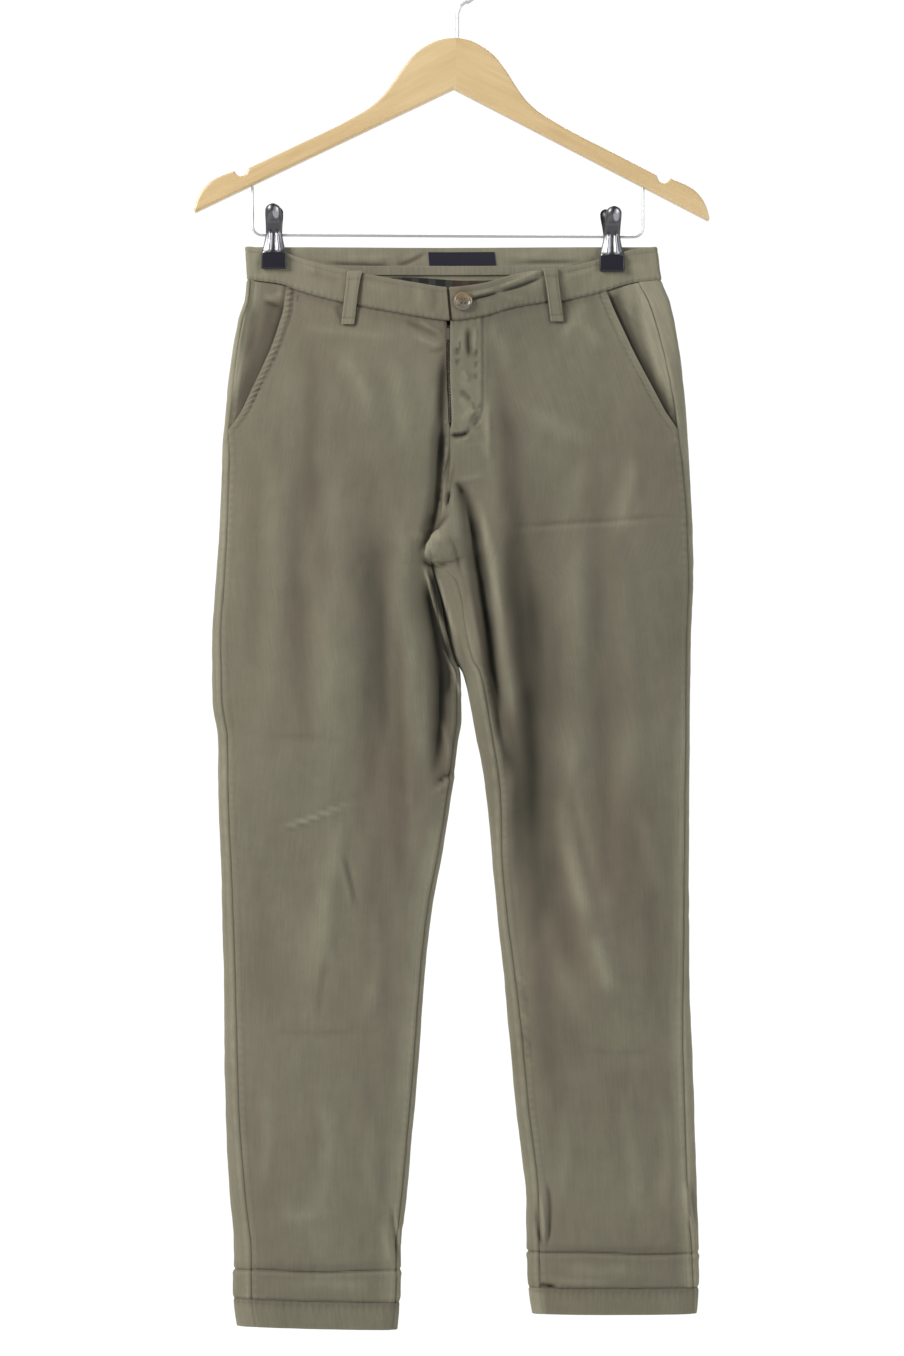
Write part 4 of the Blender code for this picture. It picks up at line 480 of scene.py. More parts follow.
# pitch of the puckers along each seam
POCKET_ROPE, HEM_PUCKER, SEAM_PUCKER, WAIST_PUCKER, BAND_PUCKER = 5.6, 5.8, 7.5, 6.6, 5.3
CREASE_DEPTH = 1.7        # height of the small creases over the heights in their tables
FOLD_PAINTED_SHADE = 0.07          # painted shade: how much darker the dye is painted for each mm down a main fold, and lighter up one
PRESSED_Z = {"right": -1132.6, "left": -1117.6}      # the crease pressed above each hem
# the gathered cloth where the crotch seams meet: middle and rise, and its edge from fly to inseam, x and z
KNOB_AT, KNOB_RISE = (-15.5, -505.0), 6.0
KNOB_EDGE = (
    (-10.9, -485.0), (-19.9, -497.5), (-27.6, -507.5), (-29.8, -512.2), (-28.1, -518.3), (-22.5, -522.6),
    (-15.9, -525.6), (-8.6, -522.6),
)


# ---------------------------------------------------------------- curves through the tables
def smooth(rows, column, at):
    """Value of a table's column at z or x, on a monotone cubic through its rows."""
    order = sorted(rows)
    xs = np.array([row[0] for row in order])
    ys = np.array([row[column] for row in order])
    slopes = np.diff(ys) / np.diff(xs)
    product = slopes[:-1] * slopes[1:]
    total = slopes[:-1] + slopes[1:]
    inner = np.where(product > 0.0, 2.0 * product / np.where(total == 0.0, 1.0, total), 0.0)
    tangents = np.concatenate(([slopes[0]], inner, [slopes[-1]]))
    at = np.clip(np.asarray(at, dtype=float), xs[0], xs[-1])
    k = np.clip(np.searchsorted(xs, at, side="right") - 1, 0, len(slopes) - 1)
    step = xs[k + 1] - xs[k]
    t = (at - xs[k]) / step
    rise = t * t * (3.0 - 2.0 * t)
    enter = t * (1.0 - t) ** 2
    leave = t * t * (1.0 - t)
    return ys[k] * (1.0 - rise) + ys[k + 1] * rise + step * (tangents[k] * enter - tangents[k + 1] * leave)


def ramp(value, start, end):
    """0 at start, 1 at end, with an easy start and stop."""
    t = np.clip((value - start) / (end - start), 0.0, 1.0)
    return t * t * (3.0 - 2.0 * t)


def bell(value, width):
    return np.exp(-(value / width) ** 2)


def column_of(leg):
    return 1 if leg == "right" else 2


def inward(leg):
    """Which way along x is inward on a leg."""
    return 1.0 if leg == "right" else -1.0


def ripple(along, pitch, bend, reach):
    """A wave at a pitch whose crests wander."""
    return np.sin(2.0 * math.pi * along / pitch + bend * np.sin(along / reach))


def fold_height(folds, x, z):
    """Sum of the main folds at x, z."""
    height = np.zeros_like(x)
    for x0, z0, x1, z1, x2, z2, width, rise in folds:
        path = smooth(((z0, x0), (z1, x1), (z2, x2)), 1, z)
        fade = 0.22 * (z0 - z2)
        along = ramp(z, z0 + 0.3 * fade, z0 - fade) * ramp(z, z2 - 0.3 * fade, z2 + fade)
        height += rise * along * bell(x - path, width)
    return height


def line_distance(line, x, z):
    """Distance of x, z from a line of points, the share of the way along it, and the side."""
    best = np.full(x.shape, 1e9)
    share, side = np.zeros_like(x), np.zeros_like(x)
    spans = len(line) - 1
    for k in range(spans):
        (ax, az), (bx, bz) = line[k], line[k + 1]
        dx, dz = bx - ax, bz - az
        t = np.clip(((x - ax) * dx + (z - az) * dz) / (dx * dx + dz * dz), 0.0, 1.0)
        ex, ez = x - ax - t * dx, z - az - t * dz
        distance = np.hypot(ex, ez)
        closer = distance < best
        best = np.where(closer, distance, best)
        share = np.where(closer, (k + t) / spans, share)
        side = np.where(closer, np.sign(dx * ez - dz * ex), side)
    return best, share, side


def bent_line(x0, z0, x1, z1, x2, z2, steps=10):
    """Points of a curve through three points."""
    line = []
    for k in range(steps + 1):
        t = k / steps
        a, b, c = (1 - t) * (1 - 2 * t), 4 * t * (1 - t), t * (2 * t - 1)
        line.append((a * x0 + b * x1 + c * x2, a * z0 + b * z1 + c * z2))
    return line


def crease_height(creases, x, z):
    """Sum of the small creases: each a bell across a bent line, fading at both ends."""
    height = np.zeros_like(x)
    for x0, z0, x1, z1, x2, z2, width, rise, *lean in creases:
        reach = 3.5 * width
        near = (x > min(x0, x1, x2) - reach) & (x < max(x0, x1, x2) + reach)
        near &= (z > min(z0, z1, z2) - reach) & (z < max(z0, z1, z2) + reach)
        if near.any():
            distance, share, side = line_distance(bent_line(x0, z0, x1, z1, x2, z2), x[near], z[near])
            fade = ramp(share, -0.02, 0.3) * ramp(share, 1.02, 0.7)
            height[near] += rise * fade * bell(distance, width * (1.0 + sum(lean) * side))
    return height


def undulation(x, z):
    """Height of the soft waves at x, z."""
    height = np.zeros_like(x)
    for kx, kz, phase, size in WAVES:
        turn = 2.0 * math.pi * MM * (kx * x + kz * z) + phase
        height += size * np.sin(turn + 0.9 * np.sin(0.37 * turn + phase))
    return height


# ---------------------------------------------------------------- the skin of the garment
def front_drop(x, row):
    return smooth(WAIST_DROP, 1, x) * (1.0 - ramp(row, WAIST_Z, POCKET_Z - 40.0))


def waist_depth(x, z, front):
    edge = np.minimum(x - smooth(OUTLINE, 1, z), smooth(OUTLINE, 2, z) - x)
    inside = np.clip(edge / PINCH, 0.0, 1.0)
    bow = np.sin(math.pi * np.clip((x - BOW_FROM) / (BOW_TO - BOW_FROM), 0.0, 1.0)) ** 2
    return PINCH * np.sqrt(1.0 - (1.0 - inside) ** 2) + np.where(front, FRONT_BOW, BACK_BOW) * bow


def inner_x(leg, front, row):
    centre = np.where(front, smooth(CENTRE, 1, row), smooth(CENTRE, 2, row))
    return np.where(row > FORK_Z, centre, smooth(INNER_EDGE, column_of(leg), row))


def ring_point(leg, share, front, row, folded=True):
    """Point of a leg's ring: share runs from 0 at the outer edge to 1 at the inner, row is its height."""
    share = np.clip(share, 0.0, 1.0)
    outer = smooth(OUTLINE, column_of(leg), row)
    inner = inner_x(leg, front, row)
    x = outer + (inner - outer) * share
    hip = ramp(row, WAIST_Z, HIP_Z)
    z = row - np.where(front, front_drop(x, row), 0.0)
    rounding = (2.0 * np.sqrt(share * (1.0 - share))) ** ROUNDNESS
    cleft = np.where(front, ramp(row, FORK_Z + 26.0, FORK_Z), ramp(row, FORK_Z + 75.0, FORK_Z))
    profile = np.where(share > 0.5, 1.0 - cleft * (1.0 - rounding), rounding)
    depth = np.where(front, smooth(DEPTH, 1, row), smooth(DEPTH, 2, row))
    out = (1.0 - hip) * waist_depth(x, row, front) + hip * depth * profile
    if folded:
        folds = np.where(front, fold_height(FRONT_FOLDS, x, z), fold_height(BACK_FOLDS, x, z))
        out = out + hip * np.clip(profile / 0.7, 0.0, 1.0) ** 2 * folds
    if leg == "right":
        z = z - HEM_SLANT * share * ramp(row, -1100.0, HEM_SEAM_Z[leg])
    tuck = bell((1.0 - share) * np.abs(inner - outer), 6.0)
    tuck = tuck * ramp(row, FORK_Z + 7.0, FORK_Z + 1.0) * ramp(row, SLIT_Z - 8.0, SLIT_Z + 6.0)
    way = inward(leg)
    return np.stack([x + 0.9 * way * tuck, np.where(front, -out, out) - 3.0 * way * tuck, z], axis=-1)


def share_of(leg, x, front, row):
    outer = smooth(OUTLINE, column_of(leg), row)
    return (x - outer) / (inner_x(leg, front, row) - outer)


def side_seam_x(leg, row):
    return smooth(OUTLINE, column_of(leg), row) + inward(leg) * smooth(SIDE_SEAM, column_of(leg), row)


def slant_x(leg, row):
    """Where the slanted pocket mouth crosses a row."""
    top = POCKET_TOP_X[leg]
    foot = side_seam_x(leg, POCKET_Z)
    share = np.clip((row - WAIST_Z) / (POCKET_Z - WAIST_Z), 0.0, 1.0)
    return top + (foot - top) * share + smooth(POCKET_SWAY, column_of(leg), share)


def front_start_x(leg, row):
    return np.where(row > POCKET_Z, slant_x(leg, row), side_seam_x(leg, row))


def front_end_x(leg, row):
    """Inner edge of the front panel: the fly edge, the centre seam, then the inseam."""
    away = -inward(leg)
    fly = FLY_HALF_GAP * ramp(row, FLY_FOOT_Z, FLY_FOOT_Z + FLY_CLOSING)
    inseam = smooth(INNER_EDGE, column_of(leg), row) + away * smooth(INSEAM, column_of(leg), row)
    return np.where(row > FORK_Z, smooth(CENTRE, 1, row) + away * fly, inseam)


def front_panel_point(leg):
    def point(u, row):
        start = front_start_x(leg, row)
        x = start + (front_end_x(leg, row) - start) * u
        return ring_point(leg, share_of(leg, x, True, row), True, row)
    return point


BACK_LAST = 0.94          # the share of the back panel that lies behind, before it turns to the side seam


def back_panel_point(leg):
    """The back runs from the centre seam or inseam, round the back, to the side seam on the front."""
    def angle_of_share(share):
        return np.arccos(1.0 - 2.0 * np.clip(share, 0.0, 1.0))

    def point(u, row):
        inseam = share_of(leg, front_end_x(leg, row), True, row)
        start = np.where(row > FORK_Z, math.pi, angle_of_share(inseam))
        side = angle_of_share(share_of(leg, side_seam_x(leg, row), True, row))
        turn = 2.0 * math.pi
        behind = start + (turn - start) * u / BACK_LAST
        angle = np.where(u <= BACK_LAST, behind, turn + side * (u - BACK_LAST) / (1.0 - BACK_LAST))
        angle = np.where(row > FORK_Z, np.maximum(angle, math.pi), angle)
        on_front = np.where(row > FORK_Z, angle > turn, np.sin(angle) >= 0.0)
        return ring_point(leg, 0.5 * (1.0 - np.cos(angle)), on_front, row)
    return point


def skin_point(x, z, front, folded=True):
    """Point of the garment's outer face at a true height, on the band or on the panels."""
    row = z
    for _ in range(12):
        row = z + np.where(front, front_drop(x, row), 0.0)
    on_right = x < np.where(front, smooth(CENTRE, 1, row), smooth(CENTRE, 2, row))
    body_row = np.minimum(row, WAIST_Z)
    right = ring_point("right", share_of("right", x, front, body_row), front, body_row, folded)[..., 1]
    left = ring_point("left", share_of("left", x, front, body_row), front, body_row, folded)[..., 1]
    return np.stack([x + 0.0 * z, np.where(on_right, right, left), z + 0.0 * x], axis=-1)


def band_point(angle, height):
    """Point of the waistband: angle 0 is the right side, pi the left side, the front lies between."""
    front = np.sin(angle) >= 0.0
    level = WAIST_Z + height
    left, right = smooth(OUTLINE, 2, level), smooth(OUTLINE, 1, level)
    x = 0.5 * (left + right) - 0.5 * (left - right) * np.cos(angle)
    y = waist_depth(x, level, front)
    z = level - np.where(front, smooth(WAIST_DROP, 1, x), 0.0)
    return np.stack([x, np.where(front, -y, y), z], axis=-1)


def band_angle(x):
    """Angle of the waistband at x, at half its height."""
    level = WAIST_Z + 0.5 * BAND_HEIGHT
    left, right = float(smooth(OUTLINE, 2, level)), float(smooth(OUTLINE, 1, level))
    return np.arccos(np.clip((left + right - 2.0 * np.asarray(x)) / (left - right), -1.0, 1.0))


# ---------------------------------------------------------------- cloth shells
FRONT_WAY, BACK_WAY = (0.0, -1.0, 0.0), (0.0, 1.0, 0.0)
CLOTH_TREES = {}          # the search tree of each cloth piece, for the stitches on it


def spread(length, step, near=(0.0, 0.3, 0.7, 1.2, 1.9, 2.8, 3.8, 5.0, 6.2, 7.6)):
    """Shares from 0 to 1 of a length in mm, a step apart and closer at both ends."""
    ends = np.array(near) / length
    count = max(2, math.ceil((length - 2.0 * near[-1]) / step))
    middle = np.linspace(ends[-1], 1.0 - ends[-1], count + 1)[1:-1]
    return np.concatenate([ends, middle, 1.0 - ends[::-1]])


def even(point, start, end, v, step, near=(0.0, 0.3, 0.7, 1.2, 1.9, 2.8)):
    """First parameters from start to end, evenly a step apart along the skin at v."""
    fine = np.linspace(start, end, 1200)
    line = point(fine, np.full_like(fine, v))
    run = np.concatenate([[0.0], np.cumsum(np.linalg.norm(np.diff(line, axis=0), axis=-1))])
    return np.interp(run[-1] * spread(run[-1], step, near), run, fine)


def grid_normals(points, facing):
    normal = np.cross(np.gradient(points, axis=0), np.gradient(points, axis=1))
    normal /= np.maximum(np.linalg.norm(normal, axis=-1, keepdims=True), 1e-9)
    middle = normal[points.shape[0] // 2, points.shape[1] // 2]
    return normal * np.sign(np.dot(middle, np.array(facing, dtype=float)))


def borders(points):
    """Distance of each point from the first and last column and from the first and last row."""
    across = np.linalg.norm(np.diff(points, axis=0), axis=-1)
    down = np.linalg.norm(np.diff(points, axis=1), axis=-1)
    first = np.concatenate([np.zeros((1, points.shape[1])), np.cumsum(across, axis=0)], axis=0)
    top = np.concatenate([np.zeros((points.shape[0], 1)), np.cumsum(down, axis=1)], axis=1)
    return first, first[-1:] - first, top, top[:, -1:] - top


def linked(name, data):
    made = bpy.data.objects.new(name, data)
    bpy.context.collection.objects.link(made)
    return made


def riding(mesh, look, sharp):
    """A piece of the object from a mesh in metres."""
    mesh.materials.append(look)
    mesh.shade_smooth()
    mesh.set_sharp_from_angle(angle=math.radians(sharp))
    made = linked(mesh.name, mesh)
    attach(made, BODY)
    return made


def new_object(name, points, faces, look, sharp=50.0):
    """A piece of the object from points in mm."""
    mesh = bpy.data.meshes.new(name)
    mesh.from_pydata((np.asarray(points, dtype=float) * MM).tolist(), [], faces)
    return riding(mesh, look, sharp)


def shell_faces(nu, nv):
    back = nu * nv
    i, j = np.meshgrid(np.arange(nu - 1), np.arange(nv - 1), indexing="ij")
    a = (i * nv + j).ravel()
    quads = np.stack([a, a + nv, a + nv + 1, a + 1], axis=-1)
    i, j = np.arange(nu - 1), np.arange(nv - 1)
    rims = []
    for edge, flip in (((i * nv, (i + 1) * nv), False), ((i * nv + nv - 1, (i + 1) * nv + nv - 1), True),
                       ((j, j + 1), True), (((nu - 1) * nv + j, (nu - 1) * nv + j + 1), False)):
        a, b = edge[::-1] if flip else edge
        rims.append(np.stack([b, a, a + back, b + back], axis=-1))
    return np.concatenate([quads, quads[:, ::-1] + back] + rims)


def both_grids(outer, inner):
    return np.concatenate([outer.reshape(-1, 3), inner.reshape(-1, 3)])


def shell(name, outer, inner, look, along, tone):
    """A closed shell between two grids, with its weave's coordinates and its tone, the painted shade and
    light on its dye.
    """
    faces = shell_faces(*outer.shape[:2])
    cloth = new_object(name, both_grids(outer, inner), faces.tolist(), look)
    first, _, top, _ = along
    flat = np.stack([MM * (first - 0.5 * first[-1:]), -MM * top], axis=-1).reshape(-1, 2)
    per_point = np.concatenate([flat, flat])
    layer = cloth.data.uv_layers.new(name="weave")
    layer.data.foreach_set("uv", per_point[faces.ravel()].ravel())
    tones = cloth.data.attributes.new("tone", "FLOAT", "POINT")
    tones.data.foreach_set("value", np.concatenate([tone.ravel(), tone.ravel()]))
    return cloth


def cloth_piece(name, node, point, us, vs, facing, look=None,
                thickness=SHELL, lift=None, folded=(), gap=0.1):
    """A cloth piece on the skin point(u, v) that stands for a node, of twill unless a look is given.

    lift(u, v, points, edges) is the height of its creases and the tone of its dye, which paints shade and
    light on it. folded names the borders that are folds, by their place in edges, and there the shell is
    rounded.
    """
    u, v = np.meshgrid(np.asarray(us, dtype=float), np.asarray(vs, dtype=float), indexing="ij")
    skin = point(u, v)
    normal = grid_normals(skin, facing)
    edges = borders(skin)
    for k, (border, inside) in enumerate(((0, 1), (-1, -2))):
        for axis in (0, 1):
            rim = np.take(skin, border, axis=axis)
            step = np.take(skin, inside, axis=axis) - rim
            step *= gap / np.maximum(np.linalg.norm(step, axis=-1, keepdims=True), 1e-6)
            if axis == 0:
                skin[border] = rim + step
            else:
                skin[:, border] = rim + step
    height, tone = lift(u, v, skin, edges) if lift else (np.zeros_like(u), np.zeros_like(u))
    outer = skin + normal * height[..., None]
    inner = outer - normal * thickness
    if folded:
        radius = 0.5 * thickness
        close = np.min([np.clip(edges[k] / radius, 0.0, 1.0) for k in folded], axis=0)
        inset = (radius - 0.15) * (1.0 - np.sqrt(1.0 - (1.0 - close) ** 2))[..., None]
        outer = outer - normal * inset
        inner = inner + normal * inset
    made = shell(name, outer, inner, look or twill, edges, tone)
    if node:
        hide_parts(node)
    CLOTH_TREES[name] = tree_of(made)
    return made


def tree_of(thing):
    mesh = thing.data
    return BVHTree.FromPolygons([v.co for v in mesh.vertices], [tuple(p.vertices) for p in mesh.polygons])


# ---------------------------------------------------------------- materials
def node(tree, kind, settings=None, **inputs):
    """A shader node; inputs are named, or numbered as in_0, and take a value or another node's socket."""
    made = tree.nodes.new("ShaderNode" + kind)
    for name, value in (settings or {}).items():
        setattr(made, name, value)
    for name, value in inputs.items():
        socket = made.inputs[int(name[3:])] if name.startswith("in_") else made.inputs[name.replace("_", " ")]
        if isinstance(value, bpy.types.NodeSocket):
            tree.links.new(value, socket)
        else:
            socket.default_value = value
    return made.outputs[0]


def sums(tree, operation, a, b=0.0):
    return node(tree, "Math", {"operation": operation}, in_0=a, in_1=b)


def plus(tree, first, *others):
    for other in others:
        first = sums(tree, "ADD", first, other)
    return first


def times(tree, a, b):
    return sums(tree, "MULTIPLY", a, b)


def clamped(tree, value, **limits):
    return node(tree, "Clamp", None, Value=value, **limits)


def axes(tree, vector):
    """The x, y and z of a vector."""
    split = tree.nodes.new("ShaderNodeSeparateXYZ")
    tree.links.new(vector, split.inputs[0])
    return split.outputs


def place_of(tree):
    return tree.nodes.new("ShaderNodeTexCoord").outputs["Object"]


def noise(tree, where, scale, detail=2.0, roughness=0.5):
    """Noise about zero, from -0.5 to 0.5."""
    value = node(tree, "TexNoise", None, Vector=where, Scale=scale, Detail=detail, Roughness=roughness)
    return sums(tree, "SUBTRACT", value, 0.5)


def mixed(tree, share, a, b):
    made = tree.nodes.new("ShaderNodeMix")
    made.data_type = "RGBA"
    for socket, value in ((made.inputs[0], share), (made.inputs[6], a), (made.inputs[7], b)):
        if isinstance(value, bpy.types.NodeSocket):
            tree.links.new(value, socket)
        else:
            socket.default_value = value
    return made.outputs[2]


def material(name, colour, roughness, metallic=0.0, **sockets):
    made = bpy.data.materials.new(name)
    made.use_nodes = True
    made.diffuse_color = (*colour, 1.0)
    shader = made.node_tree.nodes["Principled BSDF"]
    shader.inputs["Base Color"].default_value = (*colour, 1.0)
    shader.inputs["Roughness"].default_value = roughness
    shader.inputs["Metallic"].default_value = metallic
    for key, value in sockets.items():
        shader.inputs[key.replace("_", " ")].default_value = value
    return made


def bump(made, height, strength, distance):
    tree = made.node_tree
    normal = node(tree, "Bump", None, Strength=strength, Distance=distance, Height=height)
    tree.links.new(normal, tree.nodes["Principled BSDF"].inputs["Normal"])


def colour_link(made, socket):
    made.node_tree.links.new(socket, made.node_tree.nodes["Principled BSDF"].inputs["Base Color"])


TWILL_PITCH = 0.00075     # between the twill's lines, in metres
TWILL_SHEEN = (0.80, 0.86, 0.72, 1.0)
TONE_LIGHT, TONE_HUE = 0.40, 0.7      # how strongly a tone lightens the dye, and turns it from brown to olive


def cloth_material(name, dark, light, brown, weave=0.35, contrast=1.0):
    """Washed cotton twill: fine diagonal lines, slubs, and a dye with painted light and some wear on the
    raised parts and painted shade in the folds.
    """
    made = material(name, light[:3], 0.92, Sheen_Weight=0.22, Sheen_Roughness=0.5, Specular_IOR_Level=0.18)
    tree = made.node_tree
    tree.nodes["Principled BSDF"].inputs["Sheen Tint"].default_value = TWILL_SHEEN
    weave_at = node(tree, "UVMap", {"uv_map": "weave"})
    across, down, _ = axes(tree, weave_at)
    diagonal = plus(tree, times(tree, across, 0.87), times(tree, down, 0.5))
    lines = sums(tree, "SINE", times(tree, diagonal, 2.0 * math.pi / TWILL_PITCH))
    slubs = noise(tree, node(tree, "Mapping", None, Vector=weave_at, Scale=(1.0, 0.25, 1.0)), 1100.0)
    streaks = noise(tree, node(tree, "Mapping", None, Vector=weave_at, Scale=(1.0, 0.045, 1.0)), 620.0)
    place = place_of(tree)
    mottle = noise(tree, place, 70.0, 4.0, 0.6)
    cloud = noise(tree, place, 11.0)
    hue = noise(tree, place, 6.0)
    share = 0.5
    for part, size in ((mottle, 0.55), (cloud, 0.9), (slubs, 0.4), (streaks, 0.7), (lines, 0.05)):
        share = plus(tree, share, times(tree, part, size * contrast))
    share = clamped(tree, share)
    # the tone: below 0 painted shade, above 0 painted light with some wear; it also turns the dye from brown
    # to olive
    painted_light_and_wear = tree.nodes.new("ShaderNodeAttribute")
    painted_light_and_wear.attribute_name = "tone"
    tone = painted_light_and_wear.outputs["Fac"]
    browned = plus(tree, 0.40, times(tree, hue, 2.4))
    browned = clamped(tree, sums(tree, "SUBTRACT", browned, times(tree, tone, TONE_HUE)))
    base = mixed(tree, browned, mixed(tree, share, dark, light), mixed(tree, share, dark, brown))
    scaled = tree.nodes.new("ShaderNodeVectorMath")
    scaled.operation = "SCALE"
    tree.links.new(base, scaled.inputs[0])
    level = clamped(tree, plus(tree, 1.0, times(tree, tone, TONE_LIGHT)), Min=0.12, Max=1.5)
    tree.links.new(level, scaled.inputs["Scale"])
    colour_link(made, scaled.outputs[0])
    relief = plus(tree, times(tree, lines, 0.5), times(tree, slubs, 1.4), times(tree, mottle, 1.2))
    bump(made, relief, weave, 0.00022)
    return made


def plaid_material():
    """Lining cloth with a faint check and a red-brown cast to one side, near black: its own dark dye and
    painted shade inside the waist.
    """
    made = material("check_lining_and_painted_shade", (0.02, 0.02, 0.018), 0.9)
    tree = made.node_tree
    across, down, _ = axes(tree, node(tree, "UVMap", {"uv_map": "weave"}))
    bands = []
    for axis, turns in ((across, 430.0), (down, 470.0)):
        bands.append(sums(tree, "GREATER_THAN", sums(tree, "SINE", times(tree, axis, turns)), 0.25))
    check = times(tree, plus(tree, *bands), 0.5)
    side = node(tree, "MapRange", None, Value=across, From_Min=0.0, From_Max=0.012)
    plain = mixed(tree, side, (0.012, 0.013, 0.012, 1.0), (0.055, 0.030, 0.022, 1.0))
    colour_link(made, mixed(tree, check, plain, (0.060, 0.064, 0.052, 1.0)))
    return made


def wood_material():
    """Lacquered beech, its grain along each arm."""
    made = material("pale_beech_wood", (0.60, 0.42, 0.20), 0.42, Coat_Weight=0.25, Coat_Roughness=0.25)
    tree = made.node_tree
    x, y, z = axes(tree, place_of(tree))
    reach = sums(tree, "ABSOLUTE", x)
    lean = math.radians(26.5)
    across = plus(tree, times(tree, reach, math.sin(lean)), times(tree, z, math.cos(lean)))
    along = sums(tree, "SUBTRACT", times(tree, reach, math.cos(lean)), times(tree, z, math.sin(lean)))
    side = times(tree, sums(tree, "SIGN", x), 0.5)
    joined = tree.nodes.new("ShaderNodeCombineXYZ")
    for k, value in enumerate((plus(tree, times(tree, along, 0.10), side), y, across)):
        tree.links.new(value, joined.inputs[k])
    grain = noise(tree, joined.outputs[0], 260.0, 5.0, 0.6)
    figure = noise(tree, joined.outputs[0], 42.0, 3.0, 0.55)
    share = clamped(tree, plus(tree, 0.5, plus(tree, times(tree, grain, 0.75), times(tree, figure, 1.1))))
    colour_link(made, mixed(tree, share, (0.52, 0.355, 0.165, 1.0), (0.73, 0.565, 0.320, 1.0)))
    bump(made, grain, 0.10, 0.0002)
    return made


def horn_material():
    """Mottled imitation horn, golden above and grey below."""
    made = material("imitation_horn", (0.36, 0.26, 0.13), 0.22, Coat_Weight=0.6, Coat_Roughness=0.1)
    tree = made.node_tree
    place = place_of(tree)
    height = node(tree, "MapRange", None, Value=axes(tree, place)[2], From_Min=-0.3045, From_Max=-0.2915)
    share = clamped(tree, plus(tree, height, times(tree, noise(tree, place, 210.0, 4.0, 0.65), 1.5)))
    streak = clamped(tree, plus(tree, 0.35, times(tree, noise(tree, place, 480.0, 3.0), 1.8)))
    tone = mixed(tree, share, (0.16, 0.15, 0.13, 1.0), (0.26, 0.17, 0.075, 1.0))
    colour_link(made, mixed(tree, times(tree, streak, 0.5), tone, (0.07, 0.05, 0.035, 1.0)))
    return made


# the dye in the hollows, on the flat, and where it has gone brown
DARK, LIGHT = (0.136, 0.125, 0.088, 1.0), (0.200, 0.189, 0.138, 1.0)
BROWN = (0.198, 0.168, 0.125, 1.0)
twill = cloth_material("olive_twill_worn_and_painted_shade", DARK, LIGHT, BROWN)
inside_twill = cloth_material("olive_twill_inside", DARK, (0.200, 0.185, 0.140, 1.0), BROWN, 0.3)
bound_edge = cloth_material("olive_bound_edge", DARK, (0.330, 0.315, 0.245, 1.0), (0.31, 0.28, 0.21, 1.0),
                            0.2, 0.6)
# the zip tape's own brown, made lighter as painted light in the shaded fly gap
tape_cloth = cloth_material("zip_tape_weave", (0.17, 0.14, 0.10, 1.0), (0.27, 0.23, 0.17, 1.0),
                            (0.26, 0.19, 0.14, 1.0))
plaid = plaid_material()
thread = material("olive_thread", (0.135, 0.128, 0.088), 0.6, Sheen_Weight=0.2)
label_satin = material("blank_label_satin", (0.020, 0.018, 0.030), 0.5, Sheen_Weight=0.08,
                       Specular_IOR_Level=0.2)
horn = horn_material()
wood = wood_material()
wire = material("plated_wire", (0.62, 0.62, 0.63), 0.55, 1.0)
# the clips' steel: a darker copy on the plates' body and the sleeves, and a lighter copy as painted highlight
clip_steel = material("dark_plated_steel", (0.13, 0.13, 0.14), 0.36, 1.0)
flute_steel = material("plated_steel_painted_highlight", (0.42, 0.42, 0.45), 0.42, 1.0)
pad_rubber = material("black_pad_rubber", (0.016, 0.014, 0.022), 0.30, Specular_IOR_Level=0.5)
zip_metal = material("worn_nickel", (0.42, 0.39, 0.34), 0.32, 1.0)


# ---------------------------------------------------------------- trousers
def rows_of(*spans):
    """Heights from z to z at about a step, for each span given as (z, z, step)."""
    rows = [spans[0][0]]
    for start, end, step in spans:
        count = max(1, math.ceil(abs(end - start) / step))
        rows += [start + (end - start) * k / count for k in range(1, count + 1)]
    return rows


def leg_rows(leg, fine):
    seam = HEM_SEAM_Z[leg]
    return rows_of((WAIST_Z, WAIST_Z - 8.0, 0.9), (WAIST_Z - 8.0, -422.0, 1.3 * fine),
                   (-422.0, -480.0, 1.9 * fine), (-480.0, -535.0, 1.1 * fine), (-535.0, -640.0, 1.9 * fine),
                   (-640.0, -1098.0, 3.5 * fine), (-1098.0, -1138.0, 1.3 * fine),
                   (-1138.0, seam + 6.0, 1.5), (seam + 6.0, seam, 0.7))


def seam_look(edge, z, painted_light_and_wear=0.0):
    """Height and tone beside a plain seam: both sides turn in, over the puckered ridge of its allowance;
    painted shade in the seam and beyond the ridge, painted light and wear on the ridge.
    """
    pucker = ripple(z, SEAM_PUCKER, 1.6, 27.0) * (0.65 + 0.35 * np.sin(z / 41.0))
    ridge = bell(edge - 3.4, 2.2)
    height = -0.9 * bell(edge, 1.1) + (0.30 + 0.30 * pucker) * ridge
    tone = -0.62 * bell(edge, 0.9) + (0.16 + painted_light_and_wear + 0.22 * pucker) * ridge - 0.20 * bell(edge - 6.4, 0.9)
    return height, tone


def small_relief(creases, x, z, shift=0.0):
    """Height of the small creases and of the uneven cloth, and a tone from the creases: painted shade in
    their troughs and painted light on their ridges.
    """
    small = CREASE_DEPTH * crease_height(creases, x, z)
    return small + undulation(x + shift, z), np.clip(0.42 * small, -1.3, 0.75)


def knob_share(x, z):
    return ramp(np.hypot(x - KNOB_AT[0], z - KNOB_AT[1]), 32.0, 21.0)


def knob(x, z):
    """Height and tone of the gathered cloth at the crotch, which stands proud of the right leg: painted light
    on it, painted shadow under its edge.
    """
    distance, share, side = line_distance(KNOB_EDGE, x, z)
    near = bell(np.hypot(x - KNOB_AT[0], 0.85 * (z - KNOB_AT[1])), 17.0)
    within = side * distance
    height = KNOB_RISE * near * ramp(within, -0.8, 4.0)
    beyond = ramp(share, 0.0, 0.15) * ramp(share, 1.0, 0.85)
    under = ramp(share, 0.40, 0.62) * ramp(share, 1.0, 0.85)
    tone = near * (0.95 * ramp(within, -0.2, 2.0) - (0.35 * beyond + 0.8 * under) * bell(within + 1.6, 1.5))
    return height, tone


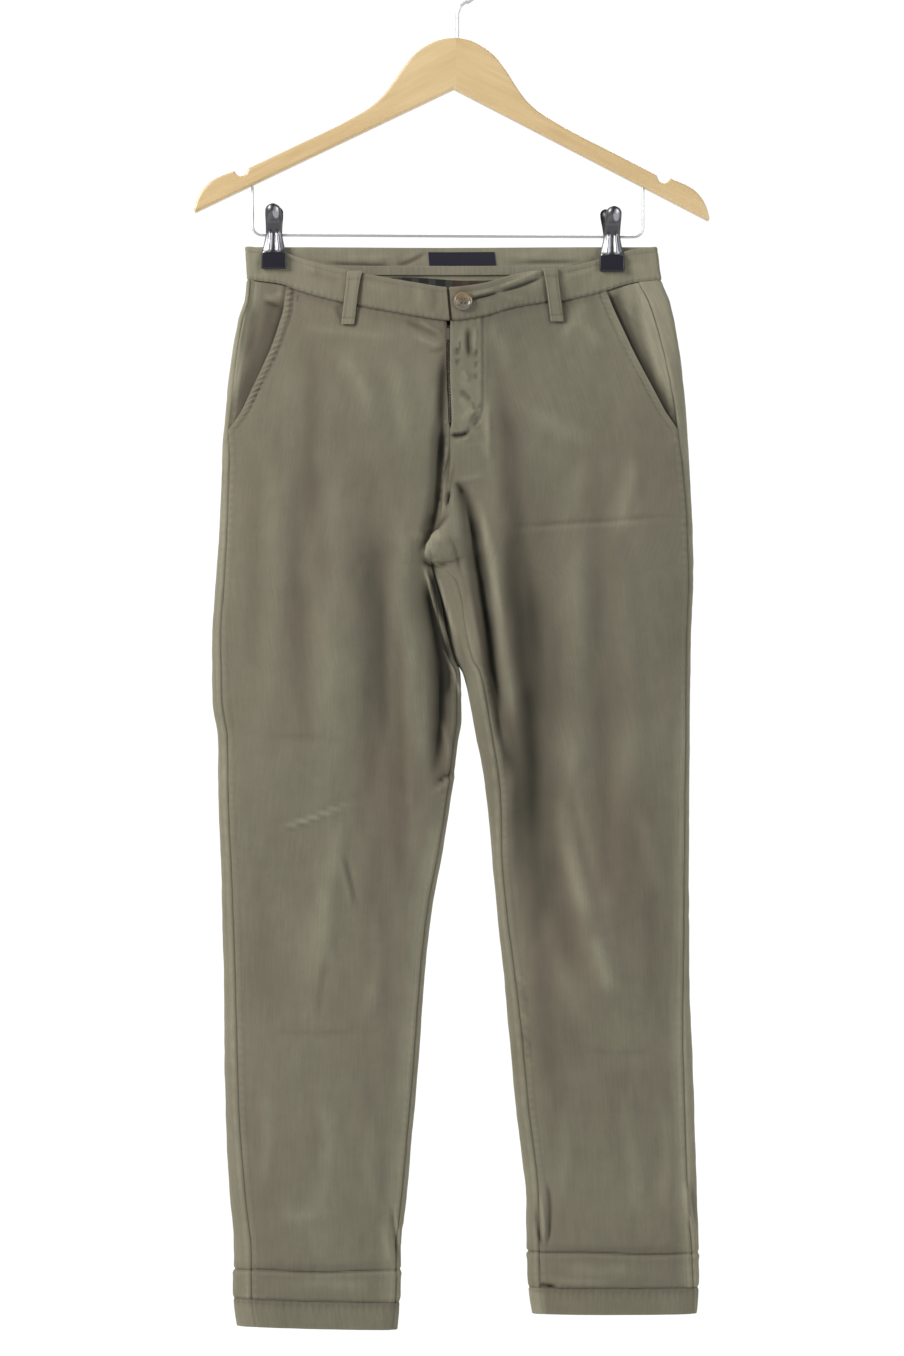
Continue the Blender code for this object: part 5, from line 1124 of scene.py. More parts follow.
def pressed_crease(leg, x, z):
    """Height and tone of the crease pressed into each leg above its hem: painted shade in its groove and
    above it, painted light on its ridge.
    """
    line = PRESSED_Z[leg] + 0.9 * np.sin(0.021 * x + 0.6) + 0.5 * np.sin(0.067 * x)
    groove, ridge, above = bell(z - line, 1.1), bell(z - line + 3.4, 2.6), bell(z - line - 3.5, 3.5)
    return -1.5 * groove + 0.7 * ridge, -0.75 * groove + 0.16 * ridge - 0.14 * above


def front_lift(leg):
    left = leg == "left"

    def lift(u, row, skin, edges):
        start, end, top, foot = edges
        x, z = skin[..., 0], skin[..., 2]
        height, tone = small_relief(FRONT_CREASES, x, z)
        pressed = pressed_crease(leg, x, z)
        height += pressed[0]
        # painted shade in the main folds and along the shade rows, painted light on their ridges
        tone += pressed[1] + FOLD_PAINTED_SHADE * fold_height(FRONT_FOLDS, x, z)
        tone += crease_height(SOFT_SHADES, x, z) + crease_height(DEEP_SHADES, x, z)
        gathered = knob(x, z)
        height += gathered[0]
        tone += gathered[1]
        mouth = ramp(row, POCKET_Z - 6.0, POCKET_Z + 4.0)
        along = WAIST_Z - row
        turns = np.sin(2.0 * math.pi * (along + 0.7 * start) / POCKET_ROPE + 1.3 * np.sin(along / 17.0))
        rope = (0.4 if left else 1.25) * np.sign(turns) * np.abs(turns) ** 0.8 * bell(start - 4.4, 2.6)
        rope *= 0.62 + 0.38 * np.sin(along / 9.5 + 0.8) * np.sin(along / 23.0)
        lap = 0.6 * ramp(start, POCKET_STITCH + 0.9, POCKET_STITCH - 0.9)
        lap -= 0.4 * bell(start - POCKET_STITCH, 0.8)
        plain = seam_look(start, z)
        height += mouth * (lap + rope) + (1.0 - mouth) * plain[0]
        # painted light on the pocket mouth's edge, with wear, and on its rope's crests; painted shade in the
        # rope's hollows and along the stitched line
        tone += mouth * (0.22 * bell(start, 2.5) + 0.55 * rope - 0.55 * bell(start - POCKET_STITCH, 0.9))
        tone += (1.0 - mouth) * plain[1]
        # painted light along the pocket mouth, the side seam and the inseam, more low on the legs, where the
        # studio lights the edges
        low = ramp(z, -600.0, -700.0) if left else ramp(z, -690.0, -780.0)
        tone += ramp(start, 15.0, 2.0) * (0.30 + 0.80 * low if left else 0.12)
        tone += low * ramp(end, 20.0, 3.0) * (0.10 if left else 0.90)
        gathered = knob_share(x, z)
        fly = ramp(row, FLY_FOOT_Z - 4.0, FLY_FOOT_Z + 6.0)
        middle = seam_look(end, z)
        joined = (1.0 - fly) * (1.0 - gathered)
        joined = joined * (0.25 + 0.75 * ramp(z, -570.0, -640.0)) if left else joined
        # at the fly: painted light on the left panel's edge, painted shade on the right one's, beside the gap
        height += joined * middle[0] + fly * (0.5 if left else -0.7) * ramp(end, 8.0, 1.5)
        tone += joined * middle[1] + fly * (0.35 if left else -0.2) * bell(end, 1.8)
        if left:
            stitched, _, _ = line_distance(FLY_STITCH, x, z)
            height += -0.42 * bell(stitched, 0.9) + 0.25 * bell(stitched - 2.6, 1.5)
            # painted shade in the groove of the fly's stitched line, painted light on the placket near its
            # foot
            tone += -0.65 * bell(stitched, 1.0)
            tone += 0.22 * ramp(x, 24.0, 21.0) * ramp(z, -414.0, -408.0)
        waist_pucker = 0.32 * ripple(x, WAIST_PUCKER, 1.5, 23.0) * bell(top, 4.0)
        height += -0.9 * bell(top, 1.2) + waist_pucker
        # painted shadow under the waistband, and painted light and shade on the waist's puckers
        tone += -1.1 * bell(top, 1.4) + 0.45 * waist_pucker - 0.25 * bell(top - 3.0, 3.5)
        # painted shadows beside and under the front belt loops
        for _, _, x_foot, front in BELT_LOOPS:
            if front:
                aside = np.abs(x - x_foot)
                tone -= 0.75 * bell(aside - 0.5 * LOOP_WIDTH - 0.3, 1.6) * ramp(top, 20.0, 15.0)
                tone -= 0.75 * bell(top - LOOP_BELOW_SEAM - 1.2, 1.6) * ramp(aside, 7.5, 5.5)
        hem_pucker = 0.22 * ripple(x, HEM_PUCKER, 1.4, 19.0) * bell(foot - 1.5, 3.2)
        height += -0.9 * bell(foot, 1.8) + hem_pucker
        # painted shade at the hem seam
        return height, tone - 0.7 * bell(foot, 1.3)
    return lift


def back_lift(leg):
    def lift(u, row, skin, edges):
        start, end, top, foot = edges
        x, z = skin[..., 0], skin[..., 2]
        behind = skin[..., 1] > 0.0
        back, back_tone = small_relief(BACK_CREASES, x, z, 60.0)
        front, front_tone = small_relief(FRONT_CREASES, x, z)
        pressed = pressed_crease(leg, x, z)
        inseam, side = seam_look(start, z, 0.2), seam_look(end, z, 0.2)
        plain = np.where(behind, 1.0, 1.0 - knob_share(x, z))
        sunk = plain * np.where(behind, 1.0, 0.25 + 0.75 * ramp(z, -570.0, -640.0))
        height = np.where(behind, back, front) + pressed[0] + sunk * inseam[0] + side[0]
        height -= 0.9 * plain * bell(top, 1.2)
        tone = np.where(behind, back_tone, front_tone) + pressed[1] + sunk * inseam[1] + side[1]
        # painted shade under the waist seam
        tone -= 0.75 * plain * bell(top, 1.1)
        # painted shade and light of the main folds and, mirrored, of the soft shade rows, on the back
        tone += behind * (FOLD_PAINTED_SHADE * fold_height(BACK_FOLDS, x, z) + 0.7 * crease_height(SOFT_SHADES, -x, z))
        # painted light on the back's strips that wrap round to the front, where the studio lights the edges,
        # with the deep shade rows on them
        outer = 0.65 + 1.6 * ramp(z, -450.0, -400.0) + 0.45 * ramp(z, -690.0, -760.0) * (x > 120.0)
        edge = np.where(np.abs(x) > 110.0, outer, 0.55 * ramp(z, -690.0, -780.0))
        tone += np.where(behind, 0.0, edge + crease_height(DEEP_SHADES, x, z) * ramp(z, -735.0, -715.0))
        # painted light on the strip under the gathered cloth at the crotch
        tone += (1.0 - behind) * (1.0 - plain) * 0.45
        hem_pucker = 0.22 * ripple(x, HEM_PUCKER, 1.4, 17.0) * bell(foot - 1.5, 3.2)
        # painted shade at the hem seam
        return height - 0.9 * bell(foot, 1.8) + hem_pucker, tone - 0.7 * bell(foot, 1.3)
    return lift


def hem_lift(leg):
    way = inward(leg)

    def lift(u, row, skin, edges):
        top, foot = edges[2:]
        x, z = skin[..., 0], skin[..., 2]
        height = 0.6 * undulation(x + 25.0, z) - 0.2 - 0.9 * bell(top, 1.3)
        height += 0.26 * ripple(x, HEM_PUCKER, 1.6, 15.0) * bell(top - 4.0, 5.0)
        # painted shade under the hem seam, painted light at the hem's fold and a little over all
        tone = -0.6 * bell(top, 1.0) + 0.22 * bell(foot, 1.6) + 0.15 - 0.45 * bell(top - 1.0, 4.5)
        in_front = ramp(skin[..., 1], 0.5, -1.5)
        outer = x - side_seam_x(leg, row)
        inner = x - (smooth(INNER_EDGE, column_of(leg), row) - way * smooth(INSEAM, column_of(leg), row))
        seams = (bell(outer, 1.0) + bell(inner, 1.0)) * (skin[..., 1] < 0.0)
        # painted light toward the side seam and the inseam on the front, where the studio lights the edges
        tone += in_front * 0.6 * ramp(-way * outer, -4.0, 1.0)
        tone += in_front * (1.2 if leg == "left" else 0.3) * ramp(way * inner, -4.0, 1.0)
        # painted shade along the seams on the front
        return height - 0.8 * seams, tone - 0.6 * seams
    return lift


def hem_point(leg):
    def point(angle, row):
        return ring_point(leg, 0.5 * (1.0 - np.cos(angle)), np.sin(angle) >= 0.0, row)
    return point


# the spacing of the panels' and hems' columns, and the width and length of a hem's cut in metres
FRONT_SPAN, BACK_SPAN = 172.0, 225.0          # width over which a panel's columns are spaced
FLY_COLUMNS = 1.0 - np.arange(6.2, 36.0, 1.05) / FRONT_SPAN   # the placket has finer creases than the rest
HEM_CUT, HEM_STEP = (0.31, 0.0245), 1.3               # and how far apart a hem's columns are, mm
for leg in ("right", "left"):
    columns = spread(FRONT_SPAN, 2.7)
    if leg == "left":
        plain = (columns < FLY_COLUMNS.min() - 0.004) | (columns > FLY_COLUMNS.max() + 0.002)
        columns = np.sort(np.concatenate([columns[plain], FLY_COLUMNS]))
    cloth_piece(f"front_{leg}_cloth", f"front_{leg}", front_panel_point(leg), columns, leg_rows(leg, 1.0),
                FRONT_WAY, lift=front_lift(leg))
    cloth_piece(f"back_{leg}_cloth", f"back_{leg}", back_panel_point(leg), spread(BACK_SPAN, 3.0),
                leg_rows(leg, 1.5), BACK_WAY, lift=back_lift(leg))
    seam, foot = HEM_SEAM_Z[leg], HEM_Z[leg]
    hem_rows = seam + (foot - seam) * spread(seam - foot, 1.6, (0.0, 0.2, 0.5, 0.9, 1.4, 2.0, 2.8))
    hem_angles = even(hem_point(leg), math.pi, 3.0 * math.pi, seam, HEM_STEP)
    cloth_piece(f"hem_{leg}_cloth", f"hem_{leg}", hem_point(leg), hem_angles, hem_rows, (-inward(leg), 0, 0),
                thickness=HEM_SHELL, lift=hem_lift(leg), folded=(3,),
                gap=0.02)


# ---------------------------------------------------------------- waistband
BAND_CENTRE_X = {"right": -6.9, "left": -4.7}
BAND_ROWS = BAND_HEIGHT * spread(BAND_HEIGHT, 1.1, (0.0, 0.3, 0.7, 1.2, 1.9, 2.8))
BUTTONHOLE = ((11.5, -297.0), (23.0, -294.6), (36.0, -290.6))   # slit beyond the button, x and z


def band_lift(u, height, skin, edges):
    end, foot, top = edges[1:]
    x, z = skin[..., 0], skin[..., 2]
    rise, tone = small_relief(BAND_CREASES, x, z, 40.0)
    slit, share, _ = line_distance(BUTTONHOLE, x, z)
    open_slit = ramp(share, 0.0, 0.1) * ramp(share, 1.0, 0.9)
    rise += open_slit * (-0.9 * bell(slit, 0.9) + 0.35 * bell(slit - 1.9, 1.0))
    # painted shade in the open buttonhole
    tone += open_slit * (-1.5 * bell(slit, 1.0) - 0.4 * bell(slit - 2.0, 0.6))
    rise += 0.28 * ripple(x, BAND_PUCKER, 1.4, 13.0) * bell(foot - 1.5, 3.5)
    rise += -0.8 * bell(foot, 1.1) + 0.15 * bell(top - 2.0, 1.5) - 0.2 * bell(top - 4.6, 0.9)
    # painted shade at the band's foot, painted light on its top edge and at its end by the fly
    tone += -0.7 * bell(foot, 1.1) + 0.25 * bell(top, 1.6) + 0.2 * bell(end, 1.5) * (x < 60.0)
    # painted light toward both sides of the band and round x 66
    tone += 0.5 * ramp(np.abs(x), 70.0, 120.0) + 0.5 * ramp(np.abs(x), 150.0, 176.0)
    tone += 0.60 * bell(x - 66.0, 26.0) * ramp(foot, 8.0, 18.0)
    # painted shadows beside the front belt loops
    for _, x_top, x_foot, front in BELT_LOOPS:
        if front:
            middle = x_top + (x_foot - x_top) * (BAND_HEIGHT - height) / (BAND_HEIGHT + LOOP_BELOW_SEAM)
            tone -= 0.7 * bell(np.abs(x - middle) - 0.5 * LOOP_WIDTH - 0.2, 1.4)
    return rise, tone


def back_band_lift(u, v, skin, edges):
    """The creases of the inner face show on the outer one the other way round."""
    foot, top = edges[2:]
    x, z = skin[..., 0], skin[..., 2]
    inside = crease_height(FACING_CREASES, x, z)
    rise = 0.7 * undulation(x + 80.0, z) - inside - 0.8 * bell(foot, 1.1) - 0.15 * bell(top - 4.6, 0.9)
    # painted light over the whole band and on its creases' ridges, painted shade and light of FACING_SHADES;
    # painted shade at the foot, painted light on the top edge
    tone = 0.80 + 0.55 * inside + crease_height(FACING_SHADES, x, z)
    return rise, tone - 0.6 * bell(foot, 1.1) + 0.25 * bell(top, 1.6)


def lying(depth, waves=0.0, pitch=4.6):
    """A piece that lies a depth inside the skin, with fine ripples along it, painted lighter on their crests
    and darker between.
    """
    def lift(u, v, skin, edges):
        wave = waves * ripple(skin[..., 0], pitch, 1.7, 11.0)
        return wave - depth, 0.5 * wave
    return lift


def behind(x):
    return 2.0 * math.pi - band_angle(x)


for leg, start, end in (("right", 0.0, band_angle(BAND_CENTRE_X["right"])),
                        ("left", band_angle(BAND_CENTRE_X["left"]), math.pi)):
    cloth_piece(f"waistband_front_{leg}_cloth", f"waistband_front_{leg}", band_point,
                even(band_point, start, end, 14.0, 1.3), BAND_ROWS, FRONT_WAY,
                thickness=BAND_SHELL,
                lift=band_lift, folded=(3,))
cloth_piece("waistband_back_cloth", "waistband_back", band_point,
            even(band_point, math.pi, 2.0 * math.pi, 14.0, 1.8), BAND_ROWS, BACK_WAY,
            thickness=BAND_SHELL,
            lift=back_band_lift, folded=(3,))
cloth_piece("waistband_underlap_cloth", "waistband_underlap", band_point,
            np.linspace(band_angle(-14.0), band_angle(24.0), 24), np.linspace(1.0, 28.0, 18), FRONT_WAY,
            inside_twill, thickness=1.8,
            lift=lying(BAND_SHELL + 0.5), folded=(3,))
cloth_piece("waistband_binding_cloth", "waistband_binding", band_point,
            even(band_point, behind(100.0), behind(-120.0), 5.0, 1.2),
            4.6 + 8.3 * spread(8.3, 0.9, (0.0, 0.3, 0.7, 1.2)), BACK_WAY,
            bound_edge, 1.5, lying(BAND_SHELL + 0.3, 0.10), (2, 3))
cloth_piece("blank_label_cloth", "blank_label", band_point, np.linspace(behind(34.6), behind(-23.3), 40),
            np.linspace(13.4, 25.0, 14), BACK_WAY, label_satin,
            0.6, lying(BAND_SHELL + 0.15, 0.05, 21.0))


def bag_point(u, v):
    """The lining seen inside the open waist, hanging in front of the back; near black, also as painted shade
    there.
    """
    x = -78.0 + 136.0 * u
    y = skin_point(x, np.full_like(x, -292.0), False)[..., 1] - 6.5 + 1.2 * np.sin(9.0 * u + 1.0)
    return np.stack([x, y - 0.05 * v, -277.0 - v + 1.5 * np.sin(7.0 * u)], axis=-1)


# the lining inside the open waist, also painted near black as the shade there
cloth_piece("pocket_bag_cloth", None, bag_point, np.linspace(0.0, 1.0, 60), np.linspace(0.0, 36.0, 20),
            FRONT_WAY, plaid, thickness=0.5)


# ---------------------------------------------------------------- pockets, fly and loops
# ridges and hollows of the cloth inside the mouths, as in the tables of small creases
POCKET_CREASES = (
    (-186.0, -288.0, -190.0, -335.0, -194.0, -392.0, 5.0, 1.3),
    (-172.0, -290.0, -176.0, -322.0, -182.0, -352.0, 5.0, -1.2),
    (152.0, -286.0, 162.0, -325.0, 176.0, -372.0, 4.0, -0.9),
    (161.0, -284.0, 171.0, -325.0, 183.0, -372.0, 3.5, 0.8),
    (-166.0, -291.0, -160.0, -294.0, -152.0, -297.0, 2.2, 0.5),
    (141.0, -300.0, 148.0, -304.0, 154.0, -311.0, 2.2, 0.5),
)
POCKET_SAG_FROM_Z, POCKET_SAG_TO_Z = -330.0, -370.0


def facing_point(leg):
    def point(u, row):
        start = side_seam_x(leg, row)
        x = start + (slant_x(leg, row) + inward(leg) * POCKET_LAP - start) * u
        return ring_point(leg, share_of(leg, x, True, row), True, row)
    return point


def facing_lift(leg):
    def lift(u, row, skin, edges):
        start, _, top, _ = edges
        x, z = skin[..., 0], skin[..., 2]
        rise, tone = small_relief(POCKET_CREASES, x, z, 90.0)
        sag = POCKET_SAG[leg] * ramp(row, WAIST_Z, POCKET_SAG_FROM_Z)
        sag *= ramp(row, POCKET_Z + 4.0, POCKET_SAG_TO_Z)
        rise -= SHELL + LAY_GAP + 0.2 + sag * ramp(u, 0.0, 0.5)
        rise += (SHELL + 0.4) * bell(start, 2.2) - 0.7 * bell(top, 1.0)
        mouth = np.abs(x - slant_x(leg, row))
        wide = 21.0 if leg == "right" else 11.0
        within = ramp(mouth, wide, 0.45 * wide)
        recess = within * ramp(row, POCKET_Z - 4.0, POCKET_Z + 26.0) * ramp(top, 9.0, 20.0)
        if leg == "left":
            recess = np.maximum(recess, within * ramp(top, 2.0, 8.0))
        # painted shade in the recess inside the mouth and along its edge, painted light beyond it; with the
        # seam's and HIP_SHADES' painted shade and light
        tone += (-0.95 if leg == "right" else -1.25) * recess - 0.6 * ramp(mouth, 4.0, 1.0)
        tone += 1.0 * ramp(mouth, wide - 2.0, wide + 5.0) + seam_look(start, z, 0.2)[1]
        tone += crease_height(HIP_SHADES, x, z)
        return np.minimum(rise, -(SHELL + 0.35) * ramp(start, 0.5, 4.0)), tone
    return lift


facing_rows = rows_of((WAIST_Z - 0.5, WAIST_Z - 8.0, 1.0),
                      (WAIST_Z - 8.0, POCKET_Z - POCKET_FACING_BELOW, 1.9))
for leg in ("right", "left"):
    cloth_piece(f"pocket_facing_{leg}_cloth", f"pocket_facing_{leg}", facing_point(leg), spread(55.0, 1.8),
                facing_rows, FRONT_WAY, thickness=0.8,
                lift=facing_lift(leg))


def fly_strip(left, right):
    def point(u, z):
        return skin_point(smooth(CENTRE, 1, z) + left + (right - left) * u, z, True, folded=False)
    return point


cloth_piece("fly_shield_cloth", "fly_shield", fly_strip(-4.0, 30.0), np.linspace(0.0, 1.0, 20),
            np.linspace(-318.5, -412.0, 50), FRONT_WAY,
            inside_twill, thickness=0.9, lift=lying(4.9))
cloth_piece("zip_tape_cloth", "zip_tape", fly_strip(-4.6, 5.9), np.linspace(0.0, 1.0, 12),
            np.linspace(-318.5, -403.0, 50), FRONT_WAY, tape_cloth,
            0.8, lying(3.5))


def loop_parts(x_top, x_foot, front):
    """The skin and the lift of a belt loop, and the heights of its ends."""
    drop = float(smooth(WAIST_DROP, 1, x_top)) if front else 0.0
    top = WAIST_Z - drop + BAND_HEIGHT
    foot = WAIST_Z - drop - LOOP_BELOW_SEAM if front else top - LOOP_BACK_HEIGHT

    def point(u, z):
        share = (z - top) / (foot - top)
        turned = 1.0 + 0.14 * bell(share, 0.16) * front
        return skin_point(x_top + (x_foot - x_top) * share + u * turned, z, front)

    def lift(u, z, skin, edges):
        share = np.clip((z - top) / (foot - top), 0.0, 1.0)
        side = 0.5 * LOOP_WIDTH - np.abs(u)
        rise = LOOP_ENDS_GAP + LOOP_CLOTH + (LOOP_STAND - LAY_GAP) * np.sin(math.pi * share)
        rise += 0.45 * ramp(edges[2], 7.5, 6.3) + 0.45 * ramp(edges[3], 6.5, 5.3)
        rise -= 0.2 * bell(side - 1.9, 0.55)
        rise += 0.12 * np.sin(2.0 * math.pi * z / 4.1 + x_top) * bell(side, 1.6)
        # painted light on the loop, most on its middle and at its top, painted shade along its stitched lines
        # and near each turned end
        tone = 0.5 + 0.35 * bell(side, 0.9) - 0.35 * bell(side - 1.9, 0.6) - 0.8 * bell(edges[3] - 5.6, 0.7)
        return rise, tone + 0.3 * bell(edges[2], 1.2) - 0.4 * bell(edges[2] - 7.0, 0.8)
    return point, lift, top, foot


for name, x_top, x_foot, front in BELT_LOOPS:
    point, lift, top, foot = loop_parts(x_top, x_foot, front)
    across = LOOP_WIDTH * (np.linspace(0.0, 1.0, 15) - 0.5)
    cloth_piece(f"{name}_cloth", name, point, across, np.linspace(top, foot, 42),
                FRONT_WAY if front else BACK_WAY,
                thickness=LOOP_CLOTH - 0.1, lift=lift, folded=(0, 1))


# ---------------------------------------------------------------- button, zip and stitches
# the button's middle, x and z, its radius, and the air behind it
BUTTON_AT, BUTTON_RADIUS, BUTTON_OFF = (6.0, -298.4), 8.3, 0.35
BUTTON_HOLES = ((-1.5, -1.5), (1.5, -1.5), (1.5, 1.5), (-1.5, 1.5))
# radius and height of the button's face over its back
BUTTON_FACE = (
    (0.0, 1.75), (3.6, 1.85), (4.9, 2.15), (5.6, 2.75), (6.4, 3.05), (7.3, 2.8), (7.9, 2.1), (8.25, 1.3),
    (8.3, 1.0),
)
BUTTON_RINGS, BUTTON_SIDES = 44, 72


def make_button():
    """A dished button with a raised rim and four holes, sewn on with dark thread."""
    x, z = BUTTON_AT
    ends = skin_point(np.array([x - BUTTON_RADIUS, x + BUTTON_RADIUS]), np.array([z, z]), True)
    slope = math.atan2(ends[1, 1] - ends[0, 1], ends[1, 0] - ends[0, 0])
    middle = np.array([x, 0.5 * (ends[0, 1] + ends[1, 1]) - BUTTON_OFF, z])
    across = np.array([math.cos(slope), math.sin(slope), 0.0])
    out = np.array([math.sin(slope), -math.cos(slope), 0.0])
    rings, sides = BUTTON_RINGS, BUTTON_SIDES
    radii = BUTTON_RADIUS * np.sin(0.5 * math.pi * np.linspace(0.0, 1.0, rings + 1)) ** 0.9
    points, faces = [], []
    for front in (True, False):
        for k, radius in enumerate(radii):
            for turn in 2.0 * math.pi * np.arange(1 if k == 0 else sides) / sides:
                px, pz = radius * math.cos(turn), radius * math.sin(turn)
                height = 1.0 - ramp(radius, BUTTON_RADIUS, 7.2)
                if front:
                    height = float(smooth(BUTTON_FACE, 1, radius))
                    hole = min(math.hypot(px - hx, pz - hz) for hx, hz in BUTTON_HOLES)
                    height -= 1.3 * float(ramp(hole, 0.95, 0.55))
                points.append(middle + px * across + height * out + np.array([0.0, 0.0, pz]))
    span = 1 + rings * sides
    for base, flip in ((0, False), (span, True)):
        for k in range(sides):
            n = (k + 1) % sides
            ring = [(base, base + 1 + k, base + 1 + n)]
            for r in range(rings - 1):
                a = base + 1 + r * sides
                ring.append((a + k, a + sides + k, a + sides + n, a + n))
            faces += [face[::-1] if flip else face for face in ring]
    rim = 1 + (rings - 1) * sides
    for k in range(sides):
        n = (k + 1) % sides
        faces.append((rim + k, span + rim + k, span + rim + n, rim + n))
    made = new_object("button_looks", points, faces, horn, 60.0)
    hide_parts("button")
    sewn = []
    for foot, head in ((0, 3), (1, 2)):
        for shift in (-0.22, 0.22):
            ends = [middle + (px + shift) * across + 1.85 * out + np.array([0.0, 0.0, pz])
                    for px, pz in (BUTTON_HOLES[foot], BUTTON_HOLES[head])]
            sewn.append((Vector(ends[0]), Vector(ends[1]), Vector(out)))
    join_stitches("button_thread", sewn, 0.26, rise=0.3)


# share of a stitch's length, of its radius and of its rise, at each ring along it
STITCH_RINGS = (
    (-0.02, 0.35, 0.0), (0.06, 0.85, 0.35), (0.3, 1.0, 0.9), (0.7, 1.0, 0.9), (0.94, 0.85, 0.35),
    (1.02, 0.35, 0.0),
)
STITCH_SIDES = 6
STITCH_SHARE, STITCH_SUNK = 0.66, 0.08        # share of the pitch that is thread, and how deep it lies


def capsule(start, end, out, radius, rise):
    """Points and faces of one stitch from start to end, its middle raised."""
    along = end - start
    length = along.length
    along = along / length
    side = along.cross(out).normalized()
    sides = STITCH_SIDES
    points = []
    for share, wide, high in STITCH_RINGS:
        middle = start + along * (share * length) + out * (rise * high)
        for k in range(sides):
            turn = 2.0 * math.pi * k / sides
            points.append(middle + (side * math.cos(turn) + out * math.sin(turn)) * (radius * wide))
    faces = [tuple(range(sides))[::-1]]
    for r in range(len(STITCH_RINGS) - 1):
        for k in range(sides):
            n = (k + 1) % sides
            faces.append((r * sides + k, r * sides + n, (r + 1) * sides + n, (r + 1) * sides + k))
    faces.append(tuple((len(STITCH_RINGS) - 1) * sides + k for k in range(sides)))
    return points, faces


def join_stitches(name, stitches, radius, look=thread, rise=0.22):
    points, faces = [], []
    for start, end, out in stitches:
        more, rings = capsule(start, end, out, radius, rise)
        faces += [tuple(len(points) + k for k in face) for face in rings]
        points += more
    new_object(name, [tuple(p) for p in points], faces, look, 80.0)


def on_cloth(name, x, z, way):
    """Place and direction out of a piece's face at x, z, looked at along way."""
    origin = Vector((x, 400.0 * way[1], z)) * MM
    hit, normal, _, _ = CLOTH_TREES[name].ray_cast(origin, Vector((0.0, -way[1], 0.0)))
    if hit is None:
        return None, None
    if normal.dot(Vector(way)) < 0.0:
        normal = -normal
    return hit / MM, normal


def sewn_line(cloth, line, pitch, way):
    """Stitches at a pitch along a line of x, z on a piece's face."""
    line = np.array(line, dtype=float)
    run = np.concatenate([[0.0], np.cumsum(np.hypot(*np.diff(line, axis=0).T))])
    reach = 0.5 * STITCH_SHARE * pitch
    stitches = []
    for at in np.arange(0.5 * pitch, run[-1] - 0.4 * pitch, pitch):
        ends = [(float(np.interp(s, run, line[:, 0])), float(np.interp(s, run, line[:, 1])))
                for s in (at - reach, at + reach)]
        spots = [on_cloth(cloth, x, z, way) for x, z in ends]
        if spots[0][0] is None or spots[1][0] is None:
            continue
        out = (spots[0][1] + spots[1][1]).normalized()
        stitches.append((spots[0][0] - out * STITCH_SUNK, spots[1][0] - out * STITCH_SUNK, out))
    return stitches


def sew(name, cloth, lines, radius, pitch, way=FRONT_WAY):
    """A piece of stitches along each line on a cloth piece."""
    join_stitches(name, [stitch for line in lines for stitch in sewn_line(cloth, line, pitch, way)], radius)


def sew_band(name, cloth, start, end, count, way):
    """The stitched lines along the foot and the top of a piece of the band."""
    angles = np.linspace(start, end, count)
    heights = (2.2, BAND_HEIGHT - 4.6)
    lines = [band_point(angles, np.full_like(angles, height))[:, [0, 2]] for height in heights]
    sew(name, cloth, lines, 0.22, 2.9, way)


make_button()
for leg in ("right", "left"):
    rows = np.linspace(WAIST_Z - 1.5, POCKET_Z + 2.0, 40)
    slants = slant_x(leg, rows) + inward(leg) * 7.0
    line = np.stack([slants, rows - front_drop(slants, rows)], axis=-1)
    sew(f"pocket_stitches_{leg}", f"front_{leg}_cloth", [line], 0.24, 3.1)
    for side, way, turn in (("front", FRONT_WAY, 0.0), ("back", BACK_WAY, math.pi)):
        angles = np.linspace(0.1, math.pi - 0.1, 60) + turn
        line = hem_point(leg)(angles, np.full_like(angles, HEM_SEAM_Z[leg] - 2.6))[:, [0, 2]]
        sew(f"hem_stitches_{leg}_{side}", f"hem_{leg}_cloth", [line], 0.22, 3.0, way)
sew("fly_stitches", "front_left_cloth", [FLY_STITCH], 0.24, 3.0)
sew_band("waistband_stitches_right", "waistband_front_right_cloth",
         0.12, band_angle(BAND_CENTRE_X["right"]) - 0.01, 120, FRONT_WAY)
sew_band("waistband_stitches_left", "waistband_front_left_cloth",
         band_angle(BAND_CENTRE_X["left"]) + 0.01, math.pi - 0.12, 120, FRONT_WAY)
sew_band("waistband_stitches_back", "waistband_back_cloth",
         math.pi + 0.12, 2.0 * math.pi - 0.12, 240, BACK_WAY)
for name, x_top, x_foot, front in BELT_LOOPS:
    _, _, top, foot = loop_parts(x_top, x_foot, front)
    lines = [[(x_top + (x_foot - x_top) * k / 12 + aside, top + (foot - top) * k / 12) for k in range(1, 12)]
             for aside in (-3.85, 3.85)]
    sew(f"{name}_stitches", f"{name}_cloth", lines, 0.2, 2.6, FRONT_WAY if front else BACK_WAY)


def bartack(cloth, x0, z0, x1, z1, width=1.6):
    """A close zigzag of thread from one end to the other."""
    length = math.hypot(x1 - x0, z1 - z0)
    steps = max(5, round(length / 0.45))
    nx, nz = -(z1 - z0) / length, (x1 - x0) / length
    stitches = []
    for k in range(steps):
        ends = []
        for side, at in ((-0.5, k), (0.5, k + 0.6)):
            x = x0 + (x1 - x0) * at / steps + nx * width * side
            z = z0 + (z1 - z0) * at / steps + nz * width * side
            ends.append(on_cloth(cloth, x, z, FRONT_WAY))
        if ends[0][0] is not None and ends[1][0] is not None:
            out = (ends[0][1] + ends[1][1]).normalized()
            stitches.append((ends[0][0], ends[1][0], out))
    return stitches


